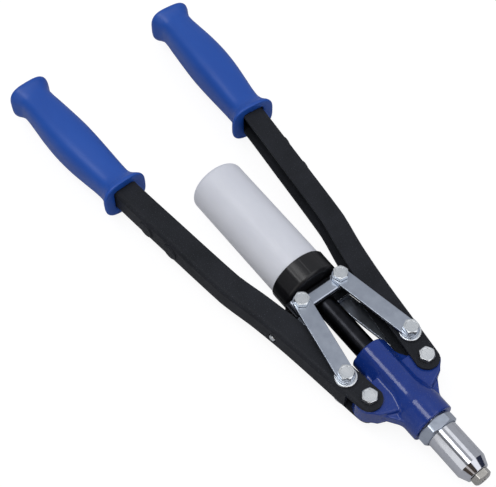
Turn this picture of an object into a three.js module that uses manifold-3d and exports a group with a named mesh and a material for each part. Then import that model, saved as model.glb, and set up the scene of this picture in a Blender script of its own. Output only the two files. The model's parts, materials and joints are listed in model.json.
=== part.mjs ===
// Two-handed lever riveter with a mandrel bottle, in millimetres.
// The mandrel axis is X and the nose points along +X. The arms swing in the XY plane about
// bolts parallel to Z, and the tool lies flat, so Z is its thickness. "Left" is the -Y side.
// Pieces are placed from the midpoint between the two arm pivots. The exported group is then
// moved along X, so that the part's origin is the centre of its bounding box.
import * as THREE from "three";
import { mergeVertices } from "three/addons/utils/BufferGeometryUtils.js";
import Module from "manifold-3d";

const wasm = await Module();
wasm.setup();

// ---- Driving dimensions ----

const GAP = 0.3; // between neighbouring pieces
const ROUND_SEGMENTS = 32;
const HOLE_SEGMENTS = 12;

// Linkage centres on the +Y side
const ARM_PIVOT = { x: 0, y: 24.9 };
const LINK_PIVOT = { x: -20.3, y: 28 };
const CROSSHEAD_PIVOT = { x: -80.6, y: 17 };

// M6 fasteners
const SHANK_RADIUS = 3;
const BOLT_HOLE_RADIUS = 3.3;
const HEAD_ACROSS_FLATS = 10;
const HEAD_HEIGHT = 3.9;
const NUT_HEIGHT = 4.6;
const SHANK_BEYOND_NUT = 1.4;
// Where each tightened head came to rest: the direction of one corner, in degrees from +X
const HEAD_TURNS = {
  left: { arm_pivot: 20, link_pivot: 50, crosshead: 56 },
  right: { arm_pivot: 29, link_pivot: 58, crosshead: 23 },
};

// Layers on either side of the mid-plane, as half thicknesses
const EAR_HALF = 7.7;
const ARM_HALF = 10;
const ARM_SHEET = 2;
const WASHER_BOTTOM = ARM_HALF + GAP;
const WASHER_TOP = WASHER_BOTTOM + 2;
const LINK_BOTTOM = WASHER_TOP + GAP;
const LINK_TOP = LINK_BOTTOM + 2.5;

// Casting
const SLEEVE_REAR = -29.2;
const SLEEVE_RADIUS = 13.8;
const SLEEVE_CHAMFER = 1.2;
const FLATS_HALF_WIDTH = 16.1; // the rhombus that the sleeve's four flats make across the axis
const FLATS_HALF_HEIGHT = 21.1;
const CROWN_REAR = 7.5;
const CROWN_REAR_RADIUS = 12.8;
const NECK_REAR = 20.3;
const NECK_FRONT = 36.1;
const NECK_RADIUS = 15.9;
const EAR_RADIUS = 9.6;
const WEB_HALF = 4;
const SLEEVE_BORE_RADIUS = 8.3;
const CASE_BORE_REAR = 8;
const CASE_BORE_RADIUS = 9.4;
const BARREL_SEAT_REAR = 21.5;

// Nose
const BARREL_REAR = 22;
const BARREL_RADIUS = 11.1;
const BARREL_CONE_START = 71.8;
const BARREL_FRONT = 78.5;
const BARREL_FRONT_RADIUS = 8.1;
const BARREL_CAVITY_FRONT = 71.5;
const LOCK_NUT_ACROSS_FLATS = 24.5;
const LOCK_NUT_FRONT = 44.3;
const LOCK_NUT_TILT = THREE.MathUtils.degToRad(37);
const NOSEPIECE_HEAD_FLATS = 12;
const NOSEPIECE_TILT = THREE.MathUtils.degToRad(36);
const NOSEPIECE_HEAD = 5;
const NOSEPIECE_STEM = 7;
const NOSEPIECE_STEM_RADIUS = 4.9;
const MANDREL_HOLE_RADII = { fitted: 1.75, spare: [1.4, 2.1, 2.6, 3.4] };

// Arms: a U channel pressed round a curved centre line, then a straight run into the grip
const ARM_CENTRE_LINE = [
  [LINK_PIVOT.x, LINK_PIVOT.y],
  [-61, 33.4],
  [-126, 46.2],
  [-180, 52.9],
  [-250, 60.4],
  [-352, 66.7],
];
const ARM_HALF_WIDTH = 8.5;
const ARM_LOBE_RADIUS = 9.2;
const WEB_END = -10.7;
const STOP_SCREW_STATION = -78;
const STOP_SCREW_INSIDE = 17.2;
const STOP_SCREW_OUTSIDE = 1.4;
const SPARE_STATIONS = [-176, -202];
const SPARE_BOSS_RADIUS = 7;
const SPARE_BOSS_INSIDE = 3.6;
const SPARE_BOSS_OUTSIDE = 2.4;
const SPARE_BOSS_END_WALL = 0.8;

// Grips
const GRIP_FRONT = -235;
const GRIP_LENGTH = 127;
const GRIP_AXIS_START = [-250, 60.5];
const GRIP_AXIS_END = [-348, 66.5];
// Each station: distance from the collar's face, half width and half height
const GRIP_STATIONS = [
  [0, 17.8, 17],
  [2.4, 18.5, 17.4],
  [12, 13.5, 13.5],
  [65, 16.1, 16.1],
  [113, 13.5, 13.5],
  [123.5, 17, 16.4],
  [125.5, 16.4, 15.8],
  [127, 14, 13.6],
];
const GRIP_STEPS = 24;
const GRIP_CORNER = 0.55; // share of the half size that is rounded
const GRIP_SOCKET_END = -353;

// Links and crosshead
const LINK_END_RADIUS = 6.3;
const BAR_HALF_LENGTH = 23.5;
const BAR_END_LENGTH = 11.5;
const BAR_ENDS = [-86.6, -74.2];
const BAR_MIDDLE = [-84.2, -74.8];
const BLOCK_REAR = -88.4;
const BLOCK_FRONT = -75;
const BLOCK_HALF_LENGTH = 25.5;
const BLOCK_HALF_HEIGHT = 7.9;
const OPEN_PIVOT_RADIUS = SHANK_RADIUS + 1.4;

// Pull tube, bottle and cap
const TUBE_RADIUS = 7.9;
const TUBE_THREAD_RADIUS = 6;
const TUBE_THREAD_HOLE = TUBE_THREAD_RADIUS + GAP;
const TUBE_BORE_RADIUS = 4.2;
const TUBE_REAR = -96;
const TUBE_REAR_SHOULDER = BLOCK_FRONT + GAP;
const TUBE_FRONT_SHOULDER = 12;
const TUBE_FRONT = 24;
const CAP_RADIUS = 23;
const CAP_REAR = -106;
const CAP_FRONT = BLOCK_REAR - GAP;
const CAP_WALL = 1.7;
const CAP_RIBS = 12;
const CAP_RIB_WIDTH = 2.6;
const CAP_RIB_HEIGHT = 0.6;
const RETAINING_NUT_FLATS = 19;
const BOTTLE_RADIUS = 21.5;
const BOTTLE_WALL = 1.5;
const BOTTLE_REAR = -204.5;
const BOTTLE_CORNER = 4;

// Jaw case and what it holds
const CASE_REAR = 18;
const CASE_FRONT = 57.5;
const CASE_RADIUS = 9;
const CASE_CAVITY_RADIUS = 6.8;
const CASE_CONE_START = 44;
const CASE_MOUTH_RADIUS = 4;
const CASE_LOCK_NUT_FLATS = 15.5;
const JAW_REAR = 46;
const JAW_FRONT = 56.5;
const JAW_BORE = 1.2;
const JAW_COUNT = 3;
const PUSHER_REAR = 31;
const PUSHER_BORE = 2.6;
const SPRING_TURNS = 5;
const SPRING_WIRE = 0.55;
const SPRING_RADIUS = 5.4;

// ---- Materials ----

function material(color, roughness, metalness) {
  return new THREE.MeshStandardMaterial({ color, roughness, metalness });
}

const MATERIALS = {
  blueEnamel: material(0x2b418c, 0.35, 0.1),
  blueGrip: material(0x3258a8, 0.5, 0),
  blackEnamel: material(0x26272a, 0.35, 0.1),
  blackOxide: material(0x1c1c1e, 0.4, 0.5),
  blackPlastic: material(0x232427, 0.55, 0),
  zinc: material(0xa9b1bc, 0.35, 0.9),
  chrome: material(0xd4d6dc, 0.12, 1),
  hardenedSteel: material(0x6c6e72, 0.35, 1),
  frostedPlastic: material(0xcbcfd8, 0.45, 0),
};

// ---- Solids ----

// A closed three.js geometry as a manifold-3d solid, with its faces turned outwards.
function solid(geometry) {
  const bare = geometry.clone();
  bare.deleteAttribute("normal");
  bare.deleteAttribute("uv");
  const merged = mergeVertices(bare, 1e-4);
  const vertProperties = merged.attributes.position.array;
  const triVerts = new Uint32Array(merged.index.array);
  const made = new wasm.Manifold(new wasm.Mesh({ numProp: 3, vertProperties, triVerts }));
  if (made.volume() >= 0) {
    return made;
  }
  for (let i = 0; i < triVerts.length; i += 3) {
    [triVerts[i + 1], triVerts[i + 2]] = [triVerts[i + 2], triVerts[i + 1]];
  }
  return new wasm.Manifold(new wasm.Mesh({ numProp: 3, vertProperties, triVerts }));
}

function join(first, ...others) {
  return others.reduce((all, next) => all.add(next), first);
}

function cut(first, ...others) {
  return others.reduce((rest, next) => rest.subtract(next), first);
}

// A cylinder along X between two stations.
function rodX(radius, x0, x1, segments = ROUND_SEGMENTS) {
  const geometry = new THREE.CylinderGeometry(radius, radius, x1 - x0, segments);
  geometry.rotateZ(-Math.PI / 2);
  geometry.translate((x0 + x1) / 2, 0, 0);
  return solid(geometry);
}

// A cylinder parallel to Z through a point of the XY plane.
function rodZ(centre, radius, z0, z1, segments = HOLE_SEGMENTS) {
  const geometry = new THREE.CylinderGeometry(radius, radius, z1 - z0, segments);
  geometry.rotateX(Math.PI / 2);
  geometry.translate(centre.x, centre.y, (z0 + z1) / 2);
  return solid(geometry);
}

// A profile of [x, radius] points turned round the X axis.
function turned(profile, segments = ROUND_SEGMENTS) {
  const points = profile.map(([x, radius]) => new THREE.Vector2(radius, x));
  const geometry = new THREE.LatheGeometry(points, segments);
  geometry.rotateZ(-Math.PI / 2);
  return solid(geometry);
}

// A six-sided prism along X, one flat turned by tilt radians from +Y towards +Z.
function hexX(acrossFlats, x0, x1, tilt = 0) {
  const radius = acrossFlats / Math.sqrt(3);
  const geometry = new THREE.CylinderGeometry(radius, radius, x1 - x0, 6);
  geometry.rotateZ(-Math.PI / 2);
  geometry.rotateX(tilt);
  geometry.translate((x0 + x1) / 2, 0, 0);
  return solid(geometry);
}

// A six-sided prism parallel to Z, one corner turned by degrees from +X towards +Y.
function hexZ(centre, acrossFlats, z0, z1, degrees) {
  const hex = rodZ({ x: 0, y: 0 }, acrossFlats / Math.sqrt(3), z0, z1, 6);
  return hex.rotate([0, 0, degrees + 30]).translate([centre.x, centre.y, 0]);
}

function block(x0, x1, y0, y1, z0, z1) {
  const geometry = new THREE.BoxGeometry(x1 - x0, y1 - y0, z1 - z0);
  geometry.translate((x0 + x1) / 2, (y0 + y1) / 2, (z0 + z1) / 2);
  return solid(geometry);
}

// An outline in the XY plane raised from z0 to z1.
function plate(points, z0, z1) {
  const shape = new THREE.Shape(points.map(([x, y]) => new THREE.Vector2(x, y)));
  const geometry = new THREE.ExtrudeGeometry(shape, { depth: z1 - z0, bevelEnabled: false });
  geometry.translate(0, 0, z0);
  return solid(geometry);
}

// ---- The exported group ----

const tool = new THREE.Group();

function addPiece(name, made, look) {
  const { vertProperties, triVerts } = made.getMesh();
  const geometry = new THREE.BufferGeometry();
  geometry.setAttribute("position", new THREE.BufferAttribute(vertProperties, 3));
  geometry.setIndex(new THREE.BufferAttribute(triVerts, 1));
  geometry.computeVertexNormals();
  const mesh = new THREE.Mesh(geometry, look);
  mesh.name = name;
  tool.add(mesh);
}

// side is "left" (-Y) or "right" (+Y)
const SIDES = ["left", "right"];

function onSide(side, point) {
  return { x: point.x, y: side === "left" ? -point.y : point.y };
}

// ---- Casting ----

// A round sleeve with four long flats, as a rhombus across the axis leaves them.
function castingSleeve() {
  const round = turned([
    [SLEEVE_REAR, 0],
    [SLEEVE_REAR, SLEEVE_RADIUS - SLEEVE_CHAMFER],
    [SLEEVE_REAR + SLEEVE_CHAMFER, SLEEVE_RADIUS],
    [NECK_REAR, SLEEVE_RADIUS],
    [NECK_REAR, 0],
  ]);
  const rhombus = [
    [FLATS_HALF_HEIGHT, 0],
    [0, FLATS_HALF_WIDTH],
    [-FLATS_HALF_HEIGHT, 0],
    [0, -FLATS_HALF_WIDTH],
  ];
  const flats = plate(rhombus, SLEEVE_REAR - 1, NECK_REAR + 1).rotate([0, 90, 0]);
  return round.intersect(flats);
}

// The crown swells from the sleeve to the neck.
function castingNeck() {
  return turned([
    [CROWN_REAR, 0],
    [CROWN_REAR, CROWN_REAR_RADIUS],
    [NECK_REAR, NECK_RADIUS],
    [NECK_FRONT, NECK_RADIUS],
    [NECK_FRONT, 0],
  ]);
}

function castingEar(side) {
  const sign = side === "left" ? -1 : 1;
  const centre = onSide(side, ARM_PIVOT);
  const round = rodZ(centre, EAR_RADIUS, -EAR_HALF, EAR_HALF, ROUND_SEGMENTS);
  const plan = [
    [-8.8, 12],
    [-8.8, 20.6],
    [-6.8, 31.7],
    [5.4, 32.9],
    [12.6, 26.4],
    [18.5, 12],
  ];
  const bridge = plate(plan.map(([x, y]) => [x, sign * y]), -EAR_HALF, EAR_HALF);
  const frontWeb = [
    [8, 12],
    [8, 28.5],
    [13, 24],
    [25.5, 15],
    [25.5, 12],
  ];
  const rearWeb = [
    [-18, 12],
    [-8, 19.2],
    [-8, 12],
  ];
  const webs = [frontWeb, rearWeb].map((outline) =>
    plate(outline.map(([x, y]) => [x, sign * y]), -WEB_HALF, WEB_HALF),
  );
  return join(round, bridge, ...webs);
}

function bodyCasting() {
  const outside = join(castingSleeve(), castingNeck(), ...SIDES.map(castingEar));
  const bore = turned([
    [SLEEVE_REAR - 1, 0],
    [SLEEVE_REAR - 1, SLEEVE_BORE_RADIUS],
    [CASE_BORE_REAR, SLEEVE_BORE_RADIUS],
    [CASE_BORE_REAR, CASE_BORE_RADIUS],
    [BARREL_SEAT_REAR, CASE_BORE_RADIUS],
    [BARREL_SEAT_REAR, BARREL_RADIUS + GAP],
    [NECK_FRONT + 1, BARREL_RADIUS + GAP],
    [NECK_FRONT + 1, 0],
  ]);
  const pivotHoles = SIDES.map((side) =>
    rodZ(onSide(side, ARM_PIVOT), BOLT_HOLE_RADIUS, -EAR_HALF - 1, EAR_HALF + 1),
  );
  return cut(outside, bore, ...pivotHoles);
}

// ---- Nose ----

function noseLockNut() {
  const rear = NECK_FRONT + GAP;
  const hex = hexX(LOCK_NUT_ACROSS_FLATS, rear, LOCK_NUT_FRONT, LOCK_NUT_TILT);
  return cut(hex, rodX(BARREL_RADIUS + GAP, rear - 1, LOCK_NUT_FRONT + 1));
}

function noseBarrel() {
  return turned([
    [BARREL_REAR, CASE_BORE_RADIUS],
    [BARREL_REAR, BARREL_RADIUS],
    [BARREL_CONE_START, BARREL_RADIUS],
    [BARREL_FRONT, BARREL_FRONT_RADIUS],
    [BARREL_FRONT, NOSEPIECE_STEM_RADIUS + GAP],
    [BARREL_CAVITY_FRONT + 2, NOSEPIECE_STEM_RADIUS + GAP],
    [BARREL_CAVITY_FRONT, CASE_BORE_RADIUS],
    [BARREL_REAR, CASE_BORE_RADIUS],
  ]);
}

// A nosepiece along X: a threaded stem from -NOSEPIECE_STEM to 0 and a chamfered hex head.
function nosepiece(holeRadius, tilt = 0) {
  const corner = NOSEPIECE_HEAD_FLATS / Math.sqrt(3);
  const faceRadius = NOSEPIECE_HEAD_FLATS / 2 - 0.9;
  const chamfer = turned([
    [0, 0],
    [0, corner],
    [NOSEPIECE_HEAD - 1.4, corner],
    [NOSEPIECE_HEAD, faceRadius],
    [NOSEPIECE_HEAD, 0],
  ]);
  const head = hexX(NOSEPIECE_HEAD_FLATS, 0, NOSEPIECE_HEAD, tilt).intersect(chamfer);
  const stem = turned([
    [-NOSEPIECE_STEM, 0],
    [-NOSEPIECE_STEM, holeRadius + 0.8],
    [-NOSEPIECE_STEM + 1, NOSEPIECE_STEM_RADIUS - 0.6],
    [-NOSEPIECE_STEM + 1.4, NOSEPIECE_STEM_RADIUS],
    [0.5, NOSEPIECE_STEM_RADIUS],
    [0.5, 0],
  ]);
  const hole = rodX(holeRadius, -NOSEPIECE_STEM - 1, NOSEPIECE_HEAD + 1, HOLE_SEGMENTS);
  return cut(join(head, stem), hole);
}

function addNose() {
  addPiece("nose_lock_nut", noseLockNut(), MATERIALS.zinc);
  addPiece("nose_barrel", noseBarrel(), MATERIALS.chrome);
  const fitted = nosepiece(MANDREL_HOLE_RADII.fitted, NOSEPIECE_TILT);
  addPiece("nosepiece", fitted.translate([BARREL_FRONT + GAP, 0, 0]), MATERIALS.chrome);
}

// ---- Fasteners ----

// A hex bolt through z = 0, its head resting on the layer at seat.
function bolt(centre, seat, degrees) {
  const under = seat + GAP;
  const head = hexZ(centre, HEAD_ACROSS_FLATS, under, under + HEAD_HEIGHT, degrees);
  const shankEnd = -(under + NUT_HEIGHT + SHANK_BEYOND_NUT);
  return join(head, rodZ(centre, SHANK_RADIUS, shankEnd, under + 1));
}

function nut(centre, seat, degrees) {
  const top = -(seat + GAP);
  const hex = hexZ(centre, HEAD_ACROSS_FLATS, top - NUT_HEIGHT, top, degrees);
  return cut(hex, rodZ(centre, BOLT_HOLE_RADIUS, top - NUT_HEIGHT - 1, top + 1));
}

function addBoltAndNut(side, label, pivot, seat) {
  const centre = onSide(side, pivot);
  const turn = HEAD_TURNS[side][label];
  addPiece(`${side}_${label}_bolt`, bolt(centre, seat, turn), MATERIALS.zinc);
  addPiece(`${side}_${label}_nut`, nut(centre, seat, -turn), MATERIALS.zinc);
}

function washer(centre, z0, z1) {
  const disc = rodZ(centre, 7.8, z0, z1, ROUND_SEGMENTS);
  return cut(disc, rodZ(centre, BOLT_HOLE_RADIUS, z0 - 1, z1 + 1));
}

// ---- Arms ----

const armCurve = new THREE.SplineCurve(
  ARM_CENTRE_LINE.map(([x, y]) => new THREE.Vector2(x, y)),
);

// The centre line's point and outward direction at a station along X.
function armAt(station) {
  let [low, high] = [0, 1];
  for (let i = 0; i < 40; i += 1) {
    const middle = (low + high) / 2;
    if (armCurve.getPoint(middle).x > station) {
      low = middle;
    } else {
      high = middle;
    }
  }
  const point = armCurve.getPoint(low);
  const along = armCurve.getTangent(low);
  return { point, outward: new THREE.Vector2(along.y, -along.x) };
}

// Points at one distance outside the centre line, from the first station to the last.
function armEdge(distance, first, last) {
  const count = 10;
  return Array.from({ length: count + 1 }, (_, i) => {
    const { point, outward } = armAt(first + ((last - first) * i) / count);
    return [point.x + outward.x * distance, point.y + outward.y * distance];
  });
}

function armChannel(side) {
  const sign = side === "left" ? -1 : 1;
  const mirrored = (points) => points.map(([x, y]) => [x, sign * y]);
  const end = ARM_CENTRE_LINE.at(-1)[0];
  const start = LINK_PIVOT.x;
  const outer = armEdge(ARM_HALF_WIDTH, start, end);
  const inner = armEdge(-ARM_HALF_WIDTH, start, end).reverse();
  const neckOuter = [0.9, ARM_PIVOT.y + ARM_LOBE_RADIUS];
  const neckInner = [-1.4, ARM_PIVOT.y - ARM_LOBE_RADIUS + 0.2];
  const outline = [neckOuter, [WEB_END, 35.4], ...outer, ...inner, neckInner];
  const lobe = rodZ(
    onSide(side, ARM_PIVOT),
    ARM_LOBE_RADIUS,
    -ARM_HALF,
    ARM_HALF,
    ROUND_SEGMENTS,
  );
  const whole = join(plate(mirrored(outline), -ARM_HALF, ARM_HALF), lobe);
  const hollowOuter = armEdge(ARM_HALF_WIDTH - ARM_SHEET, start, end - 10);
  const hollowInner = armEdge(-ARM_HALF_WIDTH - 2, start, end - 10).reverse();
  const beyond = [
    [14, 12],
    [14, 38],
    [WEB_END, 38],
    [WEB_END, 33.4],
  ];
  const hollow = [...beyond, ...hollowOuter, ...hollowInner];
  const half = ARM_HALF - ARM_SHEET;
  const boltHoles = [ARM_PIVOT, LINK_PIVOT].map((pivot) =>
    rodZ(onSide(side, pivot), BOLT_HOLE_RADIUS, -ARM_HALF - 1, ARM_HALF + 1),
  );
  return cut(whole, plate(mirrored(hollow), -half, half), ...boltHoles);
}

// Moves a solid built along X, pointing +X, so that it points out through the arm's outer wall.
function throughArmWall(made, side, station) {
  const sign = side === "left" ? -1 : 1;
  const { point, outward } = armAt(station);
  const angle = Math.atan2(sign * outward.y, outward.x);
  const wall = ARM_HALF_WIDTH - ARM_SHEET;
  const x = point.x + outward.x * wall;
  const y = sign * (point.y + outward.y * wall);
  return made.rotate([0, 0, THREE.MathUtils.radToDeg(angle)]).translate([x, y, 0]);
}

function armBosses(side) {
  return SPARE_STATIONS.map((station) =>
    throughArmWall(
      rodX(SPARE_BOSS_RADIUS, -SPARE_BOSS_INSIDE, ARM_SHEET + SPARE_BOSS_OUTSIDE),
      side,
      station,
    ),
  );
}

// The bosses are blind, with a thin wall at their outer ends.
function armWallHoles(side) {
  const bottom = ARM_SHEET + SPARE_BOSS_OUTSIDE - SPARE_BOSS_END_WALL;
  const socket = rodX(NOSEPIECE_STEM_RADIUS + GAP, -SPARE_BOSS_INSIDE - 1, bottom);
  const spares = SPARE_STATIONS.map((station) => throughArmWall(socket, side, station));
  const stop = throughArmWall(rodX(BOLT_HOLE_RADIUS, -1, 6), side, STOP_SCREW_STATION);
  return [...spares, stop];
}

// A set screw through the arm's outer wall. Its tip meets the pull block's end when the arms
// are closed, and its nut sits inside the channel.
function stopScrew() {
  return rodX(SHANK_RADIUS, -STOP_SCREW_INSIDE, ARM_SHEET + STOP_SCREW_OUTSIDE, HOLE_SEGMENTS);
}

function stopNut() {
  const hex = hexX(HEAD_ACROSS_FLATS, -GAP - NUT_HEIGHT, -GAP);
  return cut(hex, rodX(BOLT_HOLE_RADIUS, -NUT_HEIGHT - 1, 1, HOLE_SEGMENTS));
}

function spareNosepiece(holeRadius) {
  return nosepiece(holeRadius).rotate([0, 0, 180]).translate([-SPARE_BOSS_INSIDE - GAP, 0, 0]);
}

function addArm(side) {
  const channel = cut(join(armChannel(side), ...armBosses(side)), ...armWallHoles(side));
  addPiece(`${side}_arm_channel`, channel, MATERIALS.blackEnamel);
  const stopStation = STOP_SCREW_STATION;
  addPiece(`${side}_stop_screw`, throughArmWall(stopScrew(), side, stopStation), MATERIALS.zinc);
  addPiece(`${side}_stop_nut`, throughArmWall(stopNut(), side, stopStation), MATERIALS.zinc);
  SPARE_STATIONS.forEach((station, i) => {
    const radius = MANDREL_HOLE_RADII.spare[i + (side === "left" ? 0 : 2)];
    const spare = throughArmWall(spareNosepiece(radius), side, station);
    addPiece(`${side}_spare_nosepiece_${i + 1}`, spare, MATERIALS.chrome);
  });
  const centre = onSide(side, LINK_PIVOT);
  addPiece(`${side}_upper_washer`, washer(centre, WASHER_BOTTOM, WASHER_TOP), MATERIALS.zinc);
  addPiece(`${side}_lower_washer`, washer(centre, -WASHER_TOP, -WASHER_BOTTOM), MATERIALS.zinc);
}

// ---- Grips ----

function unitGripShape() {
  const shape = new THREE.Shape();
  const flat = 1 - GRIP_CORNER;
  shape.moveTo(1, -flat);
  for (let quarter = 0; quarter < 4; quarter += 1) {
    const turn = (quarter * Math.PI) / 2;
    const [c, s] = [Math.cos(turn), Math.sin(turn)];
    shape.absarc(flat * (c - s), flat * (s + c), GRIP_CORNER, turn, turn + Math.PI / 2, false);
  }
  return shape;
}

// Half width and half height of the grip at a distance from its collar's face.
function gripSize(distance) {
  const next = Math.max(1, GRIP_STATIONS.findIndex(([d]) => d >= distance - 1e-6));
  const [d0, w0, h0] = GRIP_STATIONS[next - 1];
  const [d1, w1, h1] = GRIP_STATIONS[next];
  const share = THREE.MathUtils.smoothstep(distance, d0, d1);
  return [THREE.MathUtils.lerp(w0, w1, share), THREE.MathUtils.lerp(h0, h1, share)];
}

function grip(side) {
  const sign = side === "left" ? -1 : 1;
  const geometry = new THREE.ExtrudeGeometry(unitGripShape(), {
    depth: GRIP_LENGTH,
    steps: GRIP_STEPS,
    bevelEnabled: false,
    curveSegments: 3,
  });
  const position = geometry.attributes.position;
  for (let i = 0; i < position.count; i += 1) {
    const distance = position.getZ(i);
    const [halfWidth, halfHeight] = gripSize(distance);
    position.setXYZ(i, -distance, position.getX(i) * halfWidth, position.getY(i) * halfHeight);
  }
  const slope = Math.atan2(
    GRIP_AXIS_END[1] - GRIP_AXIS_START[1],
    GRIP_AXIS_START[0] - GRIP_AXIS_END[0],
  );
  const frontY = GRIP_AXIS_START[1] - Math.tan(slope) * (GRIP_FRONT - GRIP_AXIS_START[0]);
  geometry.rotateZ(-sign * slope);
  geometry.translate(GRIP_FRONT, sign * frontY, 0);
  const clear = ARM_HALF_WIDTH + GAP;
  const from = GRIP_FRONT + 12;
  const socketPlan = [
    ...armEdge(clear, from, GRIP_SOCKET_END),
    ...armEdge(-clear, from, GRIP_SOCKET_END).reverse(),
  ].map(([x, y]) => [x, sign * y]);
  return cut(solid(geometry), plate(socketPlan, -ARM_HALF - GAP, ARM_HALF + GAP));
}

// ---- Links and crosshead ----

function linkPlate(side, z0, z1) {
  const ends = [LINK_PIVOT, CROSSHEAD_PIVOT].map((pivot) => onSide(side, pivot));
  const discs = ends.map((end) => rodZ(end, LINK_END_RADIUS, z0, z1, ROUND_SEGMENTS));
  const [a, b] = ends.map(({ x, y }) => new THREE.Vector2(x, y));
  const across = b.clone().sub(a).normalize().rotateAround(new THREE.Vector2(), Math.PI / 2);
  across.multiplyScalar(LINK_END_RADIUS);
  const corners = [a.clone().add(across), b.clone().add(across)];
  corners.push(b.clone().sub(across), a.clone().sub(across));
  const strip = plate(corners.map(({ x, y }) => [x, y]), z0, z1);
  const holes = ends.map((end) => rodZ(end, BOLT_HOLE_RADIUS, z0 - 1, z1 + 1));
  return cut(join(strip, ...discs), ...holes);
}

// The crosshead bolts have room to wander here, since the arms swing while the head slides.
function openPivotHoles() {
  const top = WASHER_TOP + 1;
  return SIDES.map((side) => {
    const centre = onSide(side, CROSSHEAD_PIVOT);
    return rodZ(centre, OPEN_PIVOT_RADIUS, -top, top, ROUND_SEGMENTS);
  });
}

// A bar with two wide ends joined by a narrower middle.
function crossheadBar(z0, z1) {
  const half = BAR_HALF_LENGTH;
  const shoulder = half - BAR_END_LENGTH;
  const end = block(...BAR_ENDS, shoulder, half, z0, z1);
  const middle = block(...BAR_MIDDLE, -shoulder - 1, shoulder + 1, z0, z1);
  const bar = join(middle, end, end.mirror([0, 1, 0]));
  return cut(bar, ...openPivotHoles());
}

function pullBlock() {
  const half = BLOCK_HALF_LENGTH;
  const height = BLOCK_HALF_HEIGHT;
  const made = block(BLOCK_REAR, BLOCK_FRONT, -half, half, -height, height);
  const bore = rodX(TUBE_THREAD_HOLE, BLOCK_REAR - 1, BLOCK_FRONT + 1);
  return cut(made, bore, ...openPivotHoles());
}

// ---- Bottle, cap and tube ----

// The cap's outline across the axis: a circle with a few narrow ribs standing out of it.
function ribbedOutline() {
  const pitch = (2 * Math.PI) / CAP_RIBS;
  const foot = CAP_RIB_WIDTH / 2 / CAP_RADIUS;
  const tip = foot / 2;
  const shape = new THREE.Shape();
  for (let i = 0; i < CAP_RIBS; i += 1) {
    const turn = i * pitch;
    for (const edge of [turn - tip, turn + tip]) {
      const [x, y] = [CAP_RADIUS * Math.cos(edge), CAP_RADIUS * Math.sin(edge)];
      if (i === 0 && edge < turn) {
        shape.moveTo(x, y);
      } else {
        shape.lineTo(x, y);
      }
    }
    const base = CAP_RADIUS - CAP_RIB_HEIGHT;
    shape.absarc(0, 0, base, turn + foot, turn + pitch - foot, false);
  }
  return shape;
}

function bottleCap() {
  const ribs = new THREE.ExtrudeGeometry(ribbedOutline(), {
    depth: CAP_FRONT - CAP_REAR,
    bevelEnabled: false,
    curveSegments: 4,
  });
  ribs.rotateY(Math.PI / 2);
  ribs.translate(CAP_REAR, 0, 0);
  const shell = turned([
    [CAP_REAR, BOTTLE_RADIUS + GAP],
    [CAP_REAR, CAP_RADIUS + 1],
    [CAP_FRONT - 1.5, CAP_RADIUS + 1],
    [CAP_FRONT, CAP_RADIUS - 1.5],
    [CAP_FRONT, TUBE_THREAD_HOLE],
    [CAP_FRONT - CAP_WALL, TUBE_THREAD_HOLE],
    [CAP_FRONT - CAP_WALL, BOTTLE_RADIUS + GAP],
    [CAP_REAR, BOTTLE_RADIUS + GAP],
  ]);
  return shell.intersect(solid(ribs));
}

function capRetainingNut() {
  const front = CAP_FRONT - CAP_WALL - GAP;
  const hex = hexX(RETAINING_NUT_FLATS, front - 3.5, front);
  return cut(hex, rodX(TUBE_THREAD_HOLE, front - 5, front + 1));
}

function bottle() {
  const mouth = CAP_FRONT - CAP_WALL - GAP;
  const corner = Array.from({ length: 4 }, (_, i) => {
    const turn = (Math.PI / 2) * (i / 3);
    const round = BOTTLE_CORNER;
    return [
      BOTTLE_REAR + round * (1 - Math.sin(turn)),
      BOTTLE_RADIUS - round * (1 - Math.cos(turn)),
    ];
  }).reverse();
  const inner = BOTTLE_RADIUS - BOTTLE_WALL;
  return turned([
    [BOTTLE_REAR, 0],
    ...corner,
    [mouth, BOTTLE_RADIUS],
    [mouth, inner],
    [BOTTLE_REAR + BOTTLE_CORNER, inner],
    [BOTTLE_REAR + BOTTLE_WALL, inner - BOTTLE_CORNER + BOTTLE_WALL],
    [BOTTLE_REAR + BOTTLE_WALL, 0],
  ]);
}

// The tube's two ends are reduced and threaded, and its bore carries spent mandrels back.
function pullTube() {
  return turned([
    [TUBE_REAR, TUBE_BORE_RADIUS],
    [TUBE_REAR, TUBE_THREAD_RADIUS],
    [TUBE_REAR_SHOULDER, TUBE_THREAD_RADIUS],
    [TUBE_REAR_SHOULDER, TUBE_RADIUS],
    [TUBE_FRONT_SHOULDER, TUBE_RADIUS],
    [TUBE_FRONT_SHOULDER, TUBE_THREAD_RADIUS],
    [TUBE_FRONT, TUBE_THREAD_RADIUS],
    [TUBE_FRONT, TUBE_BORE_RADIUS],
    [TUBE_REAR, TUBE_BORE_RADIUS],
  ]);
}

function addPullHead() {
  const [inner, outer] = [BLOCK_HALF_HEIGHT + GAP, WASHER_TOP];
  addPiece("crosshead_upper_bar", crossheadBar(inner, outer), MATERIALS.zinc);
  addPiece("crosshead_lower_bar", crossheadBar(-outer, -inner), MATERIALS.zinc);
  addPiece("pull_block", pullBlock(), MATERIALS.blackOxide);
  addPiece("pull_tube", pullTube(), MATERIALS.blackOxide);
  addPiece("bottle_cap", bottleCap(), MATERIALS.blackPlastic);
  addPiece("cap_retaining_nut", capRetainingNut(), MATERIALS.blackOxide);
  addPiece("bottle", bottle(), MATERIALS.frostedPlastic);
}

// ---- Jaws ----

// The jaw case's inner radius at a station inside its cone.
function coneRadius(x) {
  const share = (x - CASE_CONE_START) / (CASE_FRONT - CASE_CONE_START);
  return THREE.MathUtils.lerp(CASE_CAVITY_RADIUS, CASE_MOUTH_RADIUS, share);
}

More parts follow.
